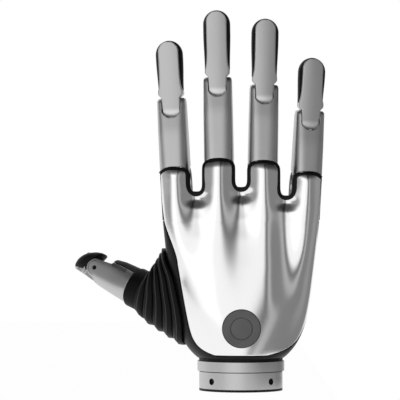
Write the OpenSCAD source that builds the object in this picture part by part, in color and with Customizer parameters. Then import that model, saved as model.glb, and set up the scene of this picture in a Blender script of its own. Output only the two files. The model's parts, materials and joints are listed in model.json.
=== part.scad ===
// Powered prosthetic hand, right side: a palm with four motorised fingers, a thumb under a
// ribbed rubber bellows, and a turning wrist ring. +Z runs from the wrist to the fingertips,
// the back of the hand faces -Y and the thumb is on the -X side. The origin is the centre of
// the wrist ring's open face.

/* [Wrist] */
// Outer radius of the wrist ring
ring_r = 20.9; // [20:0.1:25]
// Height of the wrist ring
ring_h = 9.8; // [9.8:0.1:14]
// Radius of the socket in the wrist ring
socket_r = 17; // [14:0.1:17.4]
// Depth of the socket in the wrist ring
socket_depth = 8; // [7.6:0.1:8.2]
// Radial width of the rubber gasket round the ring's open end
gasket_w = 1.5; // [1:0.1:1.8]
// Height of the rubber gasket
gasket_h = 1.2; // [0.8:0.1:2]
// Radius of the radial screw holes
screw_hole_r = 1.65; // [1:0.05:2]
// Height of the radial screw holes
screw_hole_z = 5; // [4:0.1:5.4]
// Angle from the back of the hand to the first screw hole
screw_hole_angle = 45; // [20:1:70]
// Radius of the swivel hub that the hand turns on
hub_r = 12; // [10.5:0.1:12.6]
// Wall of the swivel hub
hub_wall = 3; // [2:0.1:4]
// Outer radius of the turning flange
flange_r = 21.8; // [21.5:0.1:24]
// Height of the turning flange
flange_h = 4.9; // [4:0.1:7]
// Height of the rubber neck seal
seal_h = 1.4; // [1:0.1:2.5]
// Thickness of the disc that keeps the hand on its swivel
retainer_t = 1.2; // [0.8:0.1:1.6]

/* [Palm] */
// Half width of the palm at the neck
neck_half_w = 21.5; // [21:0.1:23]
// Growth of the half width over the heel of the hand
heel_flare = 10.8; // [9:0.1:12]
// Width of the palm beside the outer knuckle towers
side_margin = 1.35; // [1.2:0.05:1.6]
// Depth of the back of the hand at the knuckles
back_depth_top = 14.3; // [14.2:0.1:15.5]
// Depth of the back of the hand at the neck
back_depth_neck = 21.3; // [21:0.1:22.5]
// Depth of the palm side at the knuckles
front_depth_top = 11; // [10.5:0.1:12.5]
// Depth of the palm side at the neck
front_depth_neck = 20.8; // [20.5:0.1:22]
// Depth of the valleys between the knuckle ridges
ridge_depth = 2; // [1:0.1:2.4]
// Height of the top edge of the palm shell
shell_top = 85; // [82:0.1:85.4]
// Wall of the palm shell
shell_wall = 1.8; // [1.4:0.1:2]
// Thickness of the polished back cover
cover_t = 1.2; // [0.8:0.1:1.3]
// Gap under the back cover
cover_gap = 0.25; // [0.2:0.05:0.4]
// Thickness of the soft palm pad
palm_pad_t = 1.6; // [1:0.1:2.5]
// Thickness of the palm frame's plate
frame_t = 4; // [3:0.1:5]

/* [Button] */
// Radius of the button bezel
bezel_r = 9.6; // [8.5:0.1:10.5]
// Radius of the button cap
button_r = 5.4; // [4.5:0.1:6]
// Height of the button centre
button_z = 31.6; // [31:0.1:33]
// Travel of the button
button_travel = 0.8; // [0.4:0.1:1.2]

/* [Knuckles] */
// Spacing of the knuckles across the hand
knuckle_pitch = 21.6; // [21.4:0.1:21.8]
// Radius of the arch that the knuckles lie on
arch_r = 300; // [260:5:400]
// Spread of the outer fingers, in degrees
finger_spread = 3.1; // [2.6:0.1:3.4]
// Depth of the inner knuckle axes below the middle plane of the wrist
knuckle_y = -1.5; // [-1.6:0.1:-1.2]
// Height of the index knuckle
index_z = 103.7; // [103:0.1:105]
// Height of the middle knuckle
middle_z = 108; // [107:0.1:109]
// Height of the ring knuckle
ring_z = 107; // [106:0.1:108]
// Height of the little knuckle
little_z = 101.4; // [101:0.1:103]
// Rise of the cover's lobes above the knuckle axes
lobe_rise = 7; // [6:0.1:7.4]
// Drop from the lobes to the valleys between them
valley_drop = 13.2; // [12:0.1:14]

/* [Fingers] */
// Length of the index proximal bone
index_len = 37.6; // [35:0.1:40]
// Length of the middle proximal bone
middle_len = 43.8; // [40:0.1:46]
// Length of the ring proximal bone
ring_len = 41; // [38:0.1:44]
// Length of the little proximal bone
little_len = 33.8; // [33:0.1:36]
// Length of the index fingertip
index_tip_len = 34; // [30:0.1:38]
// Length of the middle fingertip
middle_tip_len = 38.6; // [34:0.1:42]
// Length of the ring fingertip
ring_tip_len = 38.2; // [34:0.1:42]
// Length of the little fingertip
little_tip_len = 31.5; // [28:0.1:36]
// Width of the proximal housing at the knuckle
finger_w = 14.6; // [14.2:0.1:14.8]
// Width of the proximal housing at the fork
fork_w = 14; // [13.6:0.1:14.2]
// Depth of the housing behind the knuckle axis
finger_back = 9.6; // [9.4:0.1:9.7]
// Depth of the housing in front of the knuckle axis
finger_front = 8.2; // [7.8:0.1:8.4]
// Wall of the proximal housing
finger_wall = 1.1; // [0.9:0.1:1.2]
// Height of the housing's lower edge above the knuckle axis
skirt_z = 8; // [8:0.1:8.4]
// Width of the knuckle towers
tower_w = 14.6; // [14.4:0.1:14.8]
// Radius of the hinge pins
pin_r = 1.5; // [1.2:0.05:1.6]
// Radius of the fork ends round the fingertip hinge
fork_r = 4.6; // [4.4:0.1:4.7]
// Width of the fingertip's tongue between the fork ends
tongue_w = 9.2; // [9:0.1:9.3]
// Width of the fingertip
tip_w = 13.4; // [13:0.1:13.8]
// Width of the fingertip's back plate
plate_w = 10.1; // [9.6:0.1:10.6]
// Play of a running hinge on its pin
running = 0.05; // [0.02:0.01:0.08]
// Gap between neighbouring pieces that move
clear = 0.3; // [0.2:0.05:0.35]

/* [Drive] */
// Teeth on the fixed worm wheels
wheel_teeth = 14; // [13:1:14]
// Module of the worm drives
drive_module = 0.4; // [0.36:0.01:0.4]
// Width of the worm wheels
wheel_w = 2; // [1.6:0.1:2.2]
// Pitch radius of the worms
worm_r = 1.5; // [1.45:0.05:1.55]
// Radius of the finger motors
motor_r = 2.8; // [2.4:0.1:2.8]
// Radius of the tendon cords
cord_r = 0.3; // [0.2:0.05:0.3]

/* [Thumb] */
// Angle of the thumb above the horizontal
thumb_rise = 22.3; // [20:0.1:25]
// Angle of the thumb towards the palm side
thumb_yaw = 29.4; // [27:0.1:32]
// Turn of the thumb about its own length
thumb_roll = 102; // [98:1:106]
// Distance of the thumb hinge from the hand's centre line
thumb_x = 41.6; // [41:0.1:43]
// Depth of the thumb hinge towards the palm side
thumb_y = 11; // [10:0.1:12]
// Height of the thumb hinge
thumb_z = 45.5; // [45:0.1:47]
// Distance of the thumb's turning axis from the hand's centre line
post_x = 23; // [22:0.1:24]
// Depth of the thumb's turning axis towards the palm side
post_y = 3.5; // [3:0.1:4]
// Radius of the thumb's turning post
post_r = 3; // [2.5:0.1:3.5]
// Length of the thumb from its hinge to the bellows' end
thumb_root = 8; // [8:0.1:9]
// Length of the thumb from its hinge to the tip hinge
thumb_len = 36.8; // [35:0.1:39]
// Length of the thumb's tip
thumb_tip_len = 14; // [13.5:0.1:17]
// Radius of the thumb's rubber sleeve
sleeve_r = 10.3; // [9.9:0.1:10.6]
// Length of the thumb's rubber sleeve
sleeve_len = 6.7; // [5:0.1:8]

/* [Hidden] */
FINGERS = ["index", "middle", "ring", "little"];
$fn = 48;
nudge = 0.02;    // play of a fixed pin in its hole
over = 1;        // how far a cutting shape runs past the surface it opens
slide = 0.1;     // gap between the turning flange and the ring

flange_z = ring_h + slide;
neck_z = flange_z + flange_h;
boss_top = neck_z + seal_h - slide;
boss_r = hub_r + 2.2;
shell_z = neck_z + seal_h;
cover_z = shell_z + 1.1;
retainer_z = boss_top + slide;
heel_h = 9.5;         // height over which the heel flares
front_h = 25;         // height over which the palm side thins
tower_z = shell_top + 0.2;
side_slope = (1.5 * knuckle_pitch + tower_w / 2 + side_margin - neck_half_w - heel_flare)
    / (index_z - shell_z);
valley_w = (knuckle_pitch - tower_w) / 2 - 0.8;
lobe_base_z = 92;     // height at which the cover's columns are set out
frame_y = -4;         // middle plane of the palm frame
bezel_neck_r = 7.5;
bezel_face = back_depth_neck + 0.5;
bezel_floor = back_depth_neck - 5.6;

knuckle_z = [index_z, middle_z, ring_z, little_z];
bone_len = [index_len, middle_len, ring_len, little_len];
tip_len = [index_tip_len, middle_tip_len, ring_tip_len, little_tip_len];
function knuckle_x(i) = (i - 1.5) * knuckle_pitch;
function knuckle_roll(i) = asin(knuckle_x(i) / arch_r);
function knuckle_depth(i) = knuckle_y + arch_r * (1 - cos(knuckle_roll(i)));
function finger_lean(i) = knuckle_x(i) / (1.5 * knuckle_pitch) * finger_spread;

pitch_r = wheel_teeth * drive_module / 2;
worm_y = -(pitch_r + worm_r);
lead = PI * drive_module;
ear_in = 3.9;
ear_out = tower_w / 2 - 1.4 - clear;
cheek_r = skirt_z - clear;
ear_r = cheek_r - 0.9;
plate_y = 1.9 + finger_back;   // outer face of a tower's dorsal wall
cord_x = [wheel_w / 2 + 1.1, wheel_w / 2 + 1.9];
cord_side = cord_x[0] - cord_r - clear;
pulley_r = 2.2;
wrap_r = pulley_r + clear + cord_r;
cord_reach = wrap_r + cord_r + clear;   // clear of both cords, from the middle of the finger
shoulder_z = fork_r + 0.4;
collar_z = shoulder_z + 3.6;   // where the metal collar ends and the rubber starts
notch_r = tongue_w / 2 + 0.4;
motor_z = 12;
worm_half = 2.2;
worm_hand = 1;        // a right-hand thread
plate_out = 5.4;      // outer and inner faces of a fingertip's back plate
plate_in = 4;
collar_w = 12.4;      // width of the metal collar under the rubber

sleeve_end = thumb_root + sleeve_len;
thumb_plate_w = 9.4;
thumb_low = 36;       // the thumb's opening in the palm
thumb_high = 54;
thumb_grip_y = 6.6;   // where the thumb's silver shell gives way to its black palm side

// ---- Helpers ----

function smooth(u) = let (c = min(1, max(0, u))) c * c * (3 - 2 * c);
function mix(a, b, u) = a + (b - a) * u;
function power(v, e) = sign(v) * pow(abs(v), e);

// Cross-section of a lofted body, [z, half width, back depth, front depth, roundness].
// The angle runs from the back (-Y) over +X to the front (+Y).
function section(s, a) = [
    s[1] * power(sin(a), 2 / s[4]),
    (cos(a) > 0 ? -s[2] : s[3]) * pow(abs(cos(a)), 2 / s[4]),
    s[0]];

module loft(sections, seg = 28) {
    rows = len(sections);
    points = [for (s = sections) for (i = [0:seg - 1]) section(s, 360 * i / seg)];
    function at(r, i) = r * seg + i % seg;
    polyhedron(points, concat(
        [[for (i = [0:seg - 1]) i]],
        [for (r = [0:rows - 2]) for (i = [0:seg - 1]) [at(r, i), at(r + 1, i), at(r + 1, i + 1)]],
        [for (r = [0:rows - 2]) for (i = [0:seg - 1]) [at(r, i), at(r + 1, i + 1), at(r, i + 1)]],
        [[for (i = [seg - 1:-1:0]) at(rows - 1, i)]]));
}

// A sheet between two grids of points. A closed sheet joins its last column to its first.
module sheet(outer, inner, closed = false) {
    rows = len(outer);
    cols = len(outer[0]);
    spans = closed ? cols : cols - 1;
    function a(r, c) = r * cols + c % cols;
    function b(r, c) = (rows + r) * cols + c % cols;
    points = [for (g = [outer, inner]) for (row = g) for (p = row) p];
    polyhedron(points, concat(
        [for (r = [0:rows - 2]) for (c = [0:spans - 1]) each [
            [a(r, c), a(r + 1, c), a(r + 1, c + 1)], [a(r, c), a(r + 1, c + 1), a(r, c + 1)],
            [b(r, c), b(r + 1, c + 1), b(r + 1, c)], [b(r, c), b(r, c + 1), b(r + 1, c + 1)]]],
        [for (c = [0:spans - 1]) each [
            [a(0, c), a(0, c + 1), b(0, c + 1)], [a(0, c), b(0, c + 1), b(0, c)],
            [a(rows - 1, c), b(rows - 1, c), b(rows - 1, c + 1)],
            [a(rows - 1, c), b(rows - 1, c + 1), a(rows - 1, c + 1)]]],
        closed ? [] : [for (r = [0:rows - 2]) each [
            [a(r + 1, 0), a(r, 0), b(r, 0)], [a(r + 1, 0), b(r, 0), b(r + 1, 0)],
            [a(r, cols - 1), a(r + 1, cols - 1), b(r + 1, cols - 1)],
            [a(r, cols - 1), b(r + 1, cols - 1), b(r, cols - 1)]]]));
}

module disc(r, lo, hi) { translate([0, 0, lo]) cylinder(r = r, h = hi - lo); }
module washer(r_out, r_in, lo, hi) {
    translate([0, 0, lo]) linear_extrude(hi - lo) difference() { circle(r_out); circle(r_in); }
}
module across(r, lo, hi) { rotate([0, 90, 0]) disc(r, lo, hi); }   // cylinder along X
module deep(r, lo, hi) { rotate([-90, 0, 0]) disc(r, lo, hi); }    // cylinder along Y
module block(lo, hi) { translate(lo) cube(hi - lo); }
module both_sides() { children(); mirror([1, 0, 0]) children(); }

module at_finger(i) {
    translate([knuckle_x(i), knuckle_depth(i), knuckle_z[i]])
        rotate([0, finger_lean(i), 0]) rotate(knuckle_roll(i)) children();
}
module at_thumb() {
    translate([-thumb_x, thumb_y, thumb_z])
        rotate([0, 90 - thumb_rise, 180 - thumb_yaw]) rotate(thumb_roll) children();
}

// ---- Wrist ----

module wrist_ring() color("silver") difference() {
    union() {
        disc(ring_r, 0, ring_h);
        disc(hub_r, ring_h - over, retainer_z);
    }
    disc(socket_r, -over, socket_depth);
    disc(hub_r - hub_wall, -over, retainer_z + over);
    washer(ring_r + over, ring_r - gasket_w, -over, gasket_h);
    for (a = [0:90:270])
        rotate(screw_hole_angle + a) translate([0, 0, screw_hole_z]) deep(screw_hole_r, -ring_r - over, 0);
}

module wrist_gasket() color("#181818")
    washer(ring_r, ring_r - gasket_w + nudge, 0, gasket_h);

module swivel_retainer() color("gray")
    washer(boss_r - 0.2, hub_r - hub_wall, retainer_z, retainer_z + retainer_t);

module contact_plate() color("#202428") difference() {
    disc(hub_r - hub_wall - nudge, socket_depth + 0.4, socket_depth + 3);
    for (r = [3, 5, 7]) washer(r + 0.5, r - 0.5, socket_depth, socket_depth + 0.9);
}

module wrist_flange() color("silver") difference() {
    union() {
        disc(flange_r, flange_z, neck_z);
        disc(boss_r, flange_z, boss_top);
    }
    disc(hub_r + running, flange_z - over, boss_top + over);
}

module neck_seal() color("#141414") difference() {
    loft([for (z = [neck_z, shell_z]) [z, neck_half_w - 0.5, back_depth_neck - 0.4, front_depth_neck - 0.3, 2.05]]);
    disc(17.5, 0, shell_z + over);
}

// ---- Palm surface: one rule that the shell, the cover and the pad all follow ----

function half_w(z) = neck_half_w + heel_flare * (1 - exp(-(z - shell_z) / heel_h))
    + side_slope * (z - shell_z);
function back_d(z) = mix(back_depth_neck, back_depth_top, smooth((z - 28) / 72));
function front_d(z) = front_depth_top
    + (front_depth_neck - front_depth_top) * exp(-(z - shell_z) / front_h);
function roundness(z) = 2.05 + 0.95 * smooth((z - shell_z) / 50) + 3 * smooth((z - 55) / 37);
function valley_x(v) = (lobe_x(v) + lobe_x(v + 1)) / 2;
function valley_z(v) = min(knuckle_z[v], knuckle_z[v + 1]) + lobe_rise - valley_drop
    + abs(knuckle_z[v] - knuckle_z[v + 1]) / 3;
function dip(x, z) = ridge_depth * smooth((z - 48) / 42)
    * (exp(-pow((x - valley_x(0)) / 3.4, 2)) + exp(-pow((x - valley_x(1)) / 3.4, 2))
       + exp(-pow((x - valley_x(2)) / 3.4, 2)));

// Point at height z and angle a, from the back (0) over +X (90), set in by a depth.
function palm_point(z, a, inset, ridges = 1) =
    let (n = roundness(z),
         reach = pow(pow(abs(sin(a)), n) + pow(abs(cos(a)), n), -1 / n),
         x = (half_w(z) - inset) * reach * sin(a),
         c = reach * cos(a))
    [x, c > 0 ? (ridges * dip(x, z) - back_d(z) + inset) * c : (inset - front_d(z)) * c, z];
function angle_at(z, x) =
    let (u = max(-1, min(1, x / half_w(z))), n = roundness(z))
    atan2(u, pow(1 - pow(abs(u), n), 1 / n));

// Left and right edges of the back cover.
function cover_left(z) = let (d = max(0, z - cover_z))
    -mix(12.7 + 9.3 * (1 - exp(-d / 3.2)) + 0.62 * pow(d, 0.72), half_w(z) - 1,
         smooth((z - 64) / 26));
function cover_right(z) = let (d = max(0, z - cover_z))
    half_w(z) - 10.3 * exp(-d / 2.6) - 0.8 * exp(-d / 12) - smooth((z - 60) / 24);
function left_angle(z) = angle_at(z, cover_left(z));
function right_angle(z) = angle_at(z, cover_right(z))
    + 14 * smooth((z - 30) / 20) * (1 - smooth((z - 56) / 28));

// Top edge of the back cover: a lobe over each knuckle and a round valley between them.
function lobe_x(i) = knuckle_x(i) * 1.04;
function lobe_top(i, x) = knuckle_z[i] + lobe_rise - 0.9 * pow(abs(x - lobe_x(i)) / 8, 3);
function cover_top(x) =
    let (v = x < (valley_x(0) + valley_x(1)) / 2 ? 0 : x < (valley_x(1) + valley_x(2)) / 2 ? 1 : 2,
         u = abs(x - valley_x(v)) / valley_w,
         side = x < valley_x(v) ? v : v + 1,
         floor_z = valley_z(v) + valley_w * (1 - sqrt(1 - pow(min(u, 1), 2))))
    u <= 1 ? floor_z : mix(valley_z(v) + valley_w, lobe_top(side, x), min(1, (u - 1) / 0.12));

// Columns of the cover, as places across the lobes, set closer at the valleys' walls.
valley_steps = [-2.1, -1.5, -1.12, -1, -0.85, -0.5, 0, 0.5, 0.85, 1, 1.12, 1.5, 2.1];
edge_steps = [0.3, 1.5, 3.3, 5.6, 8.3];
lobe_steps = [-2.5, 0, 2.5];
edge_x = half_w(lobe_base_z) - 1;
column_x = concat([for (d = edge_steps) d - edge_x],
    [for (u = valley_steps) valley_x(0) + u * valley_w], [for (d = lobe_steps) lobe_x(1) + d],
    [for (u = valley_steps) valley_x(1) + u * valley_w], [for (d = lobe_steps) lobe_x(2) + d],
    [for (u = valley_steps) valley_x(2) + u * valley_w],
    [for (k = [len(edge_steps) - 1:-1:0]) edge_x - edge_steps[k]]);
column_angles = concat([left_angle(lobe_base_z)],
    [for (x = column_x) angle_at(lobe_base_z, x)], [right_angle(lobe_base_z)]);
last_column = len(column_angles) - 1;
function column_angle(k, z) = mix(left_angle(z), right_angle(z),
    (column_angles[k] - column_angles[0]) / (column_angles[last_column] - column_angles[0]));
function column_top(k) = k == 0 ? cover_top(column_x[0]) : cover_top(column_x[min(k - 1, len(column_x) - 1)]);

cover_rows = [0, 0.7, 1.6, 3, 5, 8, 12, 17, 23, 30, 38, 46, 54, 61, 67, 72];
function cover_grid(inset) = concat(
    [for (d = cover_rows) [for (k = [0:last_column])
        palm_point(cover_z + d, column_angle(k, cover_z + d), inset)]],
    [for (u = [0.25, 0.5, 0.75, 1]) [for (k = [0:last_column])
        let (z = mix(cover_z + 72, column_top(k), u)) palm_point(z, column_angle(k, z), inset)]]);

module back_cover() color("gainsboro") difference() {
    sheet(cover_grid(0), cover_grid(cover_t));
    translate([0, 0, button_z]) deep(bezel_r + 0.15, -back_depth_neck - 3, 0);
}

// The shell is set in under the cover, so that the cover lies flush with it.
seat = cover_t + cover_gap;
shell_rows = concat([shell_z, cover_z - 0.45, cover_z - 0.25],
    [for (d = cover_rows) if (d > 0 && cover_z + d < shell_top - 0.5) cover_z + d], [shell_top]);
function shell_ring(z, inset) =
    let (lo = left_angle(z) - 1.2, hi = right_angle(z) + 1.2,
         under = z < cover_z - 0.3 ? 0 : seat + ridge_depth * smooth((z - 48) / 42))
    concat([for (u = [0:1 / 19:1]) palm_point(z, mix(lo, hi, u), under + inset, 0)],
           [for (u = [0:1 / 23:1]) palm_point(z, mix(hi + 0.6, lo + 359.4, u), inset)]);
module palm_shell() color("#1c1c1e") difference() {
    sheet([for (z = shell_rows) shell_ring(z, 0)], [for (z = shell_rows) shell_ring(z, shell_wall)],
          closed = true);
    translate([0, 0, button_z]) deep(bezel_neck_r + 0.2, -back_depth_neck - 3, 0);
    block([-60, -6, thumb_low - 2.5], [-post_x + 9, 40, thumb_high + 1.5]);
}

module palm_frame() color("silver") difference() {
    union() {
        washer(17.2, boss_r + 0.3, neck_z, neck_z + 2.4);
        translate([0, frame_y + frame_t, 0]) rotate([90, 0, 0]) linear_extrude(frame_t)
            polygon([[-17, neck_z + 3], [-22, 26], [-24, 34], [-27, 66], [-30, tower_z],
                     [30, tower_z], [27, 60], [24, 34], [22, 26], [17, neck_z + 3]]);
        both_sides() block([boss_r + 0.5, frame_y, neck_z], [17, frame_y + frame_t, neck_z + 6]);
        for (z = [thumb_low - 2.8, thumb_high + 0.3]) {
            translate([-post_x, post_y, z]) cylinder(r = 5.5, h = 2.5);
            block([-post_x, post_y - 5.5, z], [-12, post_y + 3, z + 2.5]);
        }
    }
    disc(boss_r + 0.3, 0, retainer_z + retainer_t + 0.3);
    translate([-post_x, post_y, 0]) disc(post_r + nudge, 0, 80);
    block([-60, -20, thumb_low - 0.3], [-13, 20, thumb_high + 0.3]);
    translate([0, 0, 68]) deep(8, -20, 20);
}

module palm_pad() {
    rows = [for (z = [24:5:84]) z];
    function place(z, u) = mix(0.86 * half_w(z), mix(3, -32, smooth((z - 66) / 12)), u);
    function face(lift) = [for (z = rows) [for (u = [0:1 / 12:1])
        palm_point(z, 180 - angle_at(z, place(z, u)), -lift)]];
    color("#262626") sheet(face(palm_pad_t), face(0.25));
}

// ---- Knuckles ----

// Outline of a tower seen along the finger, with its two back corners rounded.
module tower_outline() {
    w = tower_w / 2;
    r = 6.5;
    translate([-w, -plate_y + r]) square([2 * w, plate_y - r + cheek_r]);
    translate([-w + r, -plate_y]) square([2 * (w - r), r + 0.5]);
    both_sides() translate([w - r, -plate_y + r]) circle(r);
}

// Room for the finger's two ears and its worm as they turn about the axis.
module ear_room() {
    w = ear_out + clear;
    across(cheek_r + 0.3, -w, w);
    block([-w, -finger_back - clear, 0], [w, 20, 40]);
    block([-w, 0, -cheek_r - 0.3], [w, 20, 0]);
}

module knuckle_bridge() color("#1c1c1e") difference() {
    union() {
        for (i = [0:3]) at_finger(i) {
            difference() {
                translate([0, 0, -30]) linear_extrude(30 + lobe_rise - 0.7) tower_outline();
                ear_room();
                block([-20, -finger_back - clear, 0], [20, 20, 20]);
            }
            both_sides() intersection() {
                across(cheek_r, ear_out + clear, tower_w / 2);
                translate([0, 0, -10]) linear_extrude(20) tower_outline();
            }
        }
        for (v = [0:2])
            block([knuckle_x(v) + 2, -7, tower_z], [knuckle_x(v + 1) - 2, 5, valley_z(v) - 2.5]);
    }
    block([-60, -40, 0], [60, 40, tower_z]);
    for (i = [0:3]) at_finger(i) {
        across(pin_r + nudge, -20, 20);
        ear_room();
    }
}

module knuckle_pins() color("gray") for (i = [0:3]) at_finger(i) across(pin_r, -tower_w / 2, tower_w / 2);

module drive_wheel() {
    module tooth() polygon([[pitch_r - 0.55, -0.34], [pitch_r, -0.21], [pitch_r + 0.36, -0.11],
                            [pitch_r + 0.36, 0.11], [pitch_r, 0.21], [pitch_r - 0.55, 0.34]]);
    difference() {
        union() {
            translate([-wheel_w / 2, 0, 0]) rotate([0, 90, 0]) linear_extrude(wheel_w) {
                circle(pitch_r - 0.5);
                for (k = [0:wheel_teeth - 1]) rotate(-90 + k * 360 / wheel_teeth) tooth();
            }
            across(pulley_r, 0, cord_x[1] + cord_r + 0.2);
            block([-wheel_w / 2, -2.3, -sqrt(pow(cheek_r + 0.3, 2) - 2.3 * 2.3)], [wheel_w / 2, 2.3, 0]);
        }
        across(pin_r + nudge, -20, 20);
    }
}
module worm_wheels() color("goldenrod") for (i = [0:3]) at_finger(i) drive_wheel();

// ---- Drive inside each finger and the thumb ----

// A worm: its thread is a ridge whose height follows the turn and the place along the axis.
module drive_worm() {
    function ridge(p) = let (d = abs(p - round(p))) d < 0.1 ? 1 : d > 0.28 ? 0 : (0.28 - d) / 0.18;
    function worm_radius(z, a) = worm_r - 0.45 + 0.78 * ridge(z / lead - worm_hand * a / 360);
    seg = 16;
    rows = [for (z = [-worm_half:lead / 8:worm_half]) z];
    points = [for (z = rows) for (i = [0:seg - 1])
        let (a = 360 * i / seg, r = worm_radius(z, a)) [r * sin(a), -r * cos(a), z]];
    count = len(rows);
    function at(r, i) = r * seg + i % seg;
    color("gray") translate([0, worm_y, 0]) {
        polyhedron(points, concat(
            [[for (i = [0:seg - 1]) i]],
            [for (r = [0:count - 2]) for (i = [0:seg - 1]) [at(r, i), at(r + 1, i), at(r + 1, i + 1)]],
            [for (r = [0:count - 2]) for (i = [0:seg - 1]) [at(r, i), at(r + 1, i + 1), at(r, i + 1)]],
            [[for (i = [seg - 1:-1:0]) at(count - 1, i)]]));
        disc(0.75, rows[count - 1] - 0.1, motor_z - 0.1);
    }
}

module drive_motor(length) color("silver") translate([0, worm_y, 0]) difference() {
    disc(motor_r, motor_z, motor_z + length);
    disc(0.8, motor_z - over, motor_z + 1.2);
}

// Two tendon cords cross between the fixed pulley at the knuckle and the fingertip's pulley.
module cord(length, x, side) {
    sides = 8;
    last = 7;
    turn = asin(2 * wrap_r / length);
    near = [for (k = [0:3]) let (a = -70 + k * (70 + turn) / 3)
        [-side * wrap_r * cos(a), wrap_r * sin(a)]];
    path = concat(near, [for (k = [3:-1:0]) [-near[k][0], length - near[k][1]]]);
    function tangent(k) = let (p = path[max(0, k - 1)], q = path[min(last, k + 1)])
        [q[0] - p[0], q[1] - p[1]] / norm([q[0] - p[0], q[1] - p[1]]);
    rows = [for (k = [0:last]) let (t = tangent(k)) [for (j = [0:sides - 1])
        let (a = 360 * j / sides)
        [x + cord_r * cos(a), path[k][0] + cord_r * sin(a) * t[1], path[k][1] - cord_r * sin(a) * t[0]]]];
    function at(r, i) = r * sides + i % sides;
    polyhedron([for (row = rows) for (p = row) p], concat(
        [[for (i = [0:sides - 1]) i]],
        [for (r = [0:last - 1]) for (i = [0:sides - 1])
            [at(r, i + 1), at(r, i), at(r + 1, i), at(r + 1, i + 1)]],
        [[for (i = [sides - 1:-1:0]) at(last, i)]]));
}
module drive_cords(length) color("#c8c8c0") {
    cord(length, cord_x[0], 1);
    cord(length, cord_x[1], -1);
}

// The two ears that turn on a knuckle pin and carry the housing.
module root_ears(top) {
    both_sides() {
        across(ear_r, ear_in, ear_out);
        block([ear_in, -6, 0], [ear_out, 6, top]);
    }
}

// Fork that holds the tip: seen from the side, it narrows so that the tip can fold by 90 degrees.
module fork_profile(length, back, front) {
    polygon([[-back, skirt_z], [front, skirt_z], [front - 1, length - 12], [fork_r, length - 7],
             [fork_r, length], [-fork_r, length], [-5.4, length - 2], [-back, length - 7]]);
    translate([0, length]) circle(fork_r);
}
module along_x(w) { rotate([90, 0, 90]) linear_extrude(w, center = true) children(); }

module fork_room(length) {
    w = tongue_w / 2 + clear;
    translate([0, 0, length]) {
        across(fork_r + clear, -w, w);
        block([-w, -20, 0.2], [w, 20, 20]);
        block([-w, -fork_r, -3], [w, 20, 2]);
        block([-w, 0, -fork_r - 0.6], [w, 20, 0]);
        deep(w + 0.1, -20, 0);
        across(pin_r + nudge, -20, 20);
        block([cord_x[0] - cord_r - clear, -cord_reach, -14], [cord_x[1] + cord_r + clear, cord_reach, 0]);
    }
}

// ---- Fingers ----

function housing(length, inset, lo, hi) = [
    [lo, finger_w / 2 - inset, finger_back - inset, finger_front - inset, 3.2],
    [length - 12, fork_w / 2 + 0.2 - inset, 8.6 - inset, 7.4 - inset, 3.4],
    [hi, fork_w / 2 - inset, 5.6 - inset, 6.6 - inset, 4]];

// Hollow for the motor and the cords, closed below the fork.
function housing_hollow(length) = [
    [skirt_z - over, finger_w / 2 - finger_wall, finger_back - finger_wall, finger_front - finger_wall, 3.2],
    [length - 11.5, fork_w / 2 - finger_wall, 7.4, 5.2, 3.2]];

module finger_phalanx(i) color("silver") at_finger(i) {
    length = bone_len[i];
    difference() {
        union() {
            difference() {
                intersection() {
                    loft(housing(length, 0, skirt_z, length + fork_r + 1));
                    along_x(20) fork_profile(length, finger_back + 1, finger_front + 1);
                }
                loft(housing_hollow(length));
            }
            root_ears(skirt_z);
            both_sides() block([ear_in, -6, skirt_z - 0.01], [finger_w / 2 - 0.8, 6, skirt_z + 4]);
        }
        fork_room(length);
        across(pin_r + running, -20, 20);
    }
}

module finger_motor(i) at_finger(i) drive_motor(min(20, bone_len[i] - motor_z - 12.4));
module finger_worm(i) at_finger(i) drive_worm();
module finger_cords(i) at_finger(i) drive_cords(bone_len[i]);
module finger_tip_pin(i) color("gray") at_finger(i)
    translate([0, 0, bone_len[i]]) across(pin_r, -fork_w / 2 + 0.2, fork_w / 2 - 0.2);

// Rounded body of a fingertip, from its shoulder to its dome.
function tip_body(length, w, back, front, base) = let (dome = min(w / 2 + 1, length - base - 1)) concat(
    [[base, w / 2 - 0.4, back - 0.1, front - 0.4, 2.8],
     [base + 0.6, w / 2 - 0.1, back, front, 2.6],
     [length - dome, w / 2, back, front, 2.4]],
    [for (a = [15, 35, 52, 66, 78, 85]) [length - dome * (1 - sin(a)),
        w / 2 * cos(a), back * pow(cos(a), 0.75), front * pow(cos(a), 0.75), 2.2]]);

module tip_core(length, w, grow = 0) rotate([90, 0, 0]) {
    translate([0, 0, plate_in - grow]) linear_extrude(plate_out - plate_in + 2 * grow)
        offset_plate(length, w, grow);
    translate([-3 - grow, shoulder_z - 0.6, -1 - grow])
        cube([6 + 2 * grow, length - w / 2 - 2 - shoulder_z + grow, plate_in + 2]);
}
module offset_plate(length, w, grow) {
    top = length - 1 - w / 2;
    translate([-w / 2 - grow, shoulder_z + 3]) square([w + 2 * grow, top - shoulder_z - 3]);
    translate([0, top]) circle(w / 2 + grow);
    translate([-tongue_w / 2 - grow, 0]) square([tongue_w + 2 * grow, shoulder_z + 5]);
}

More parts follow.
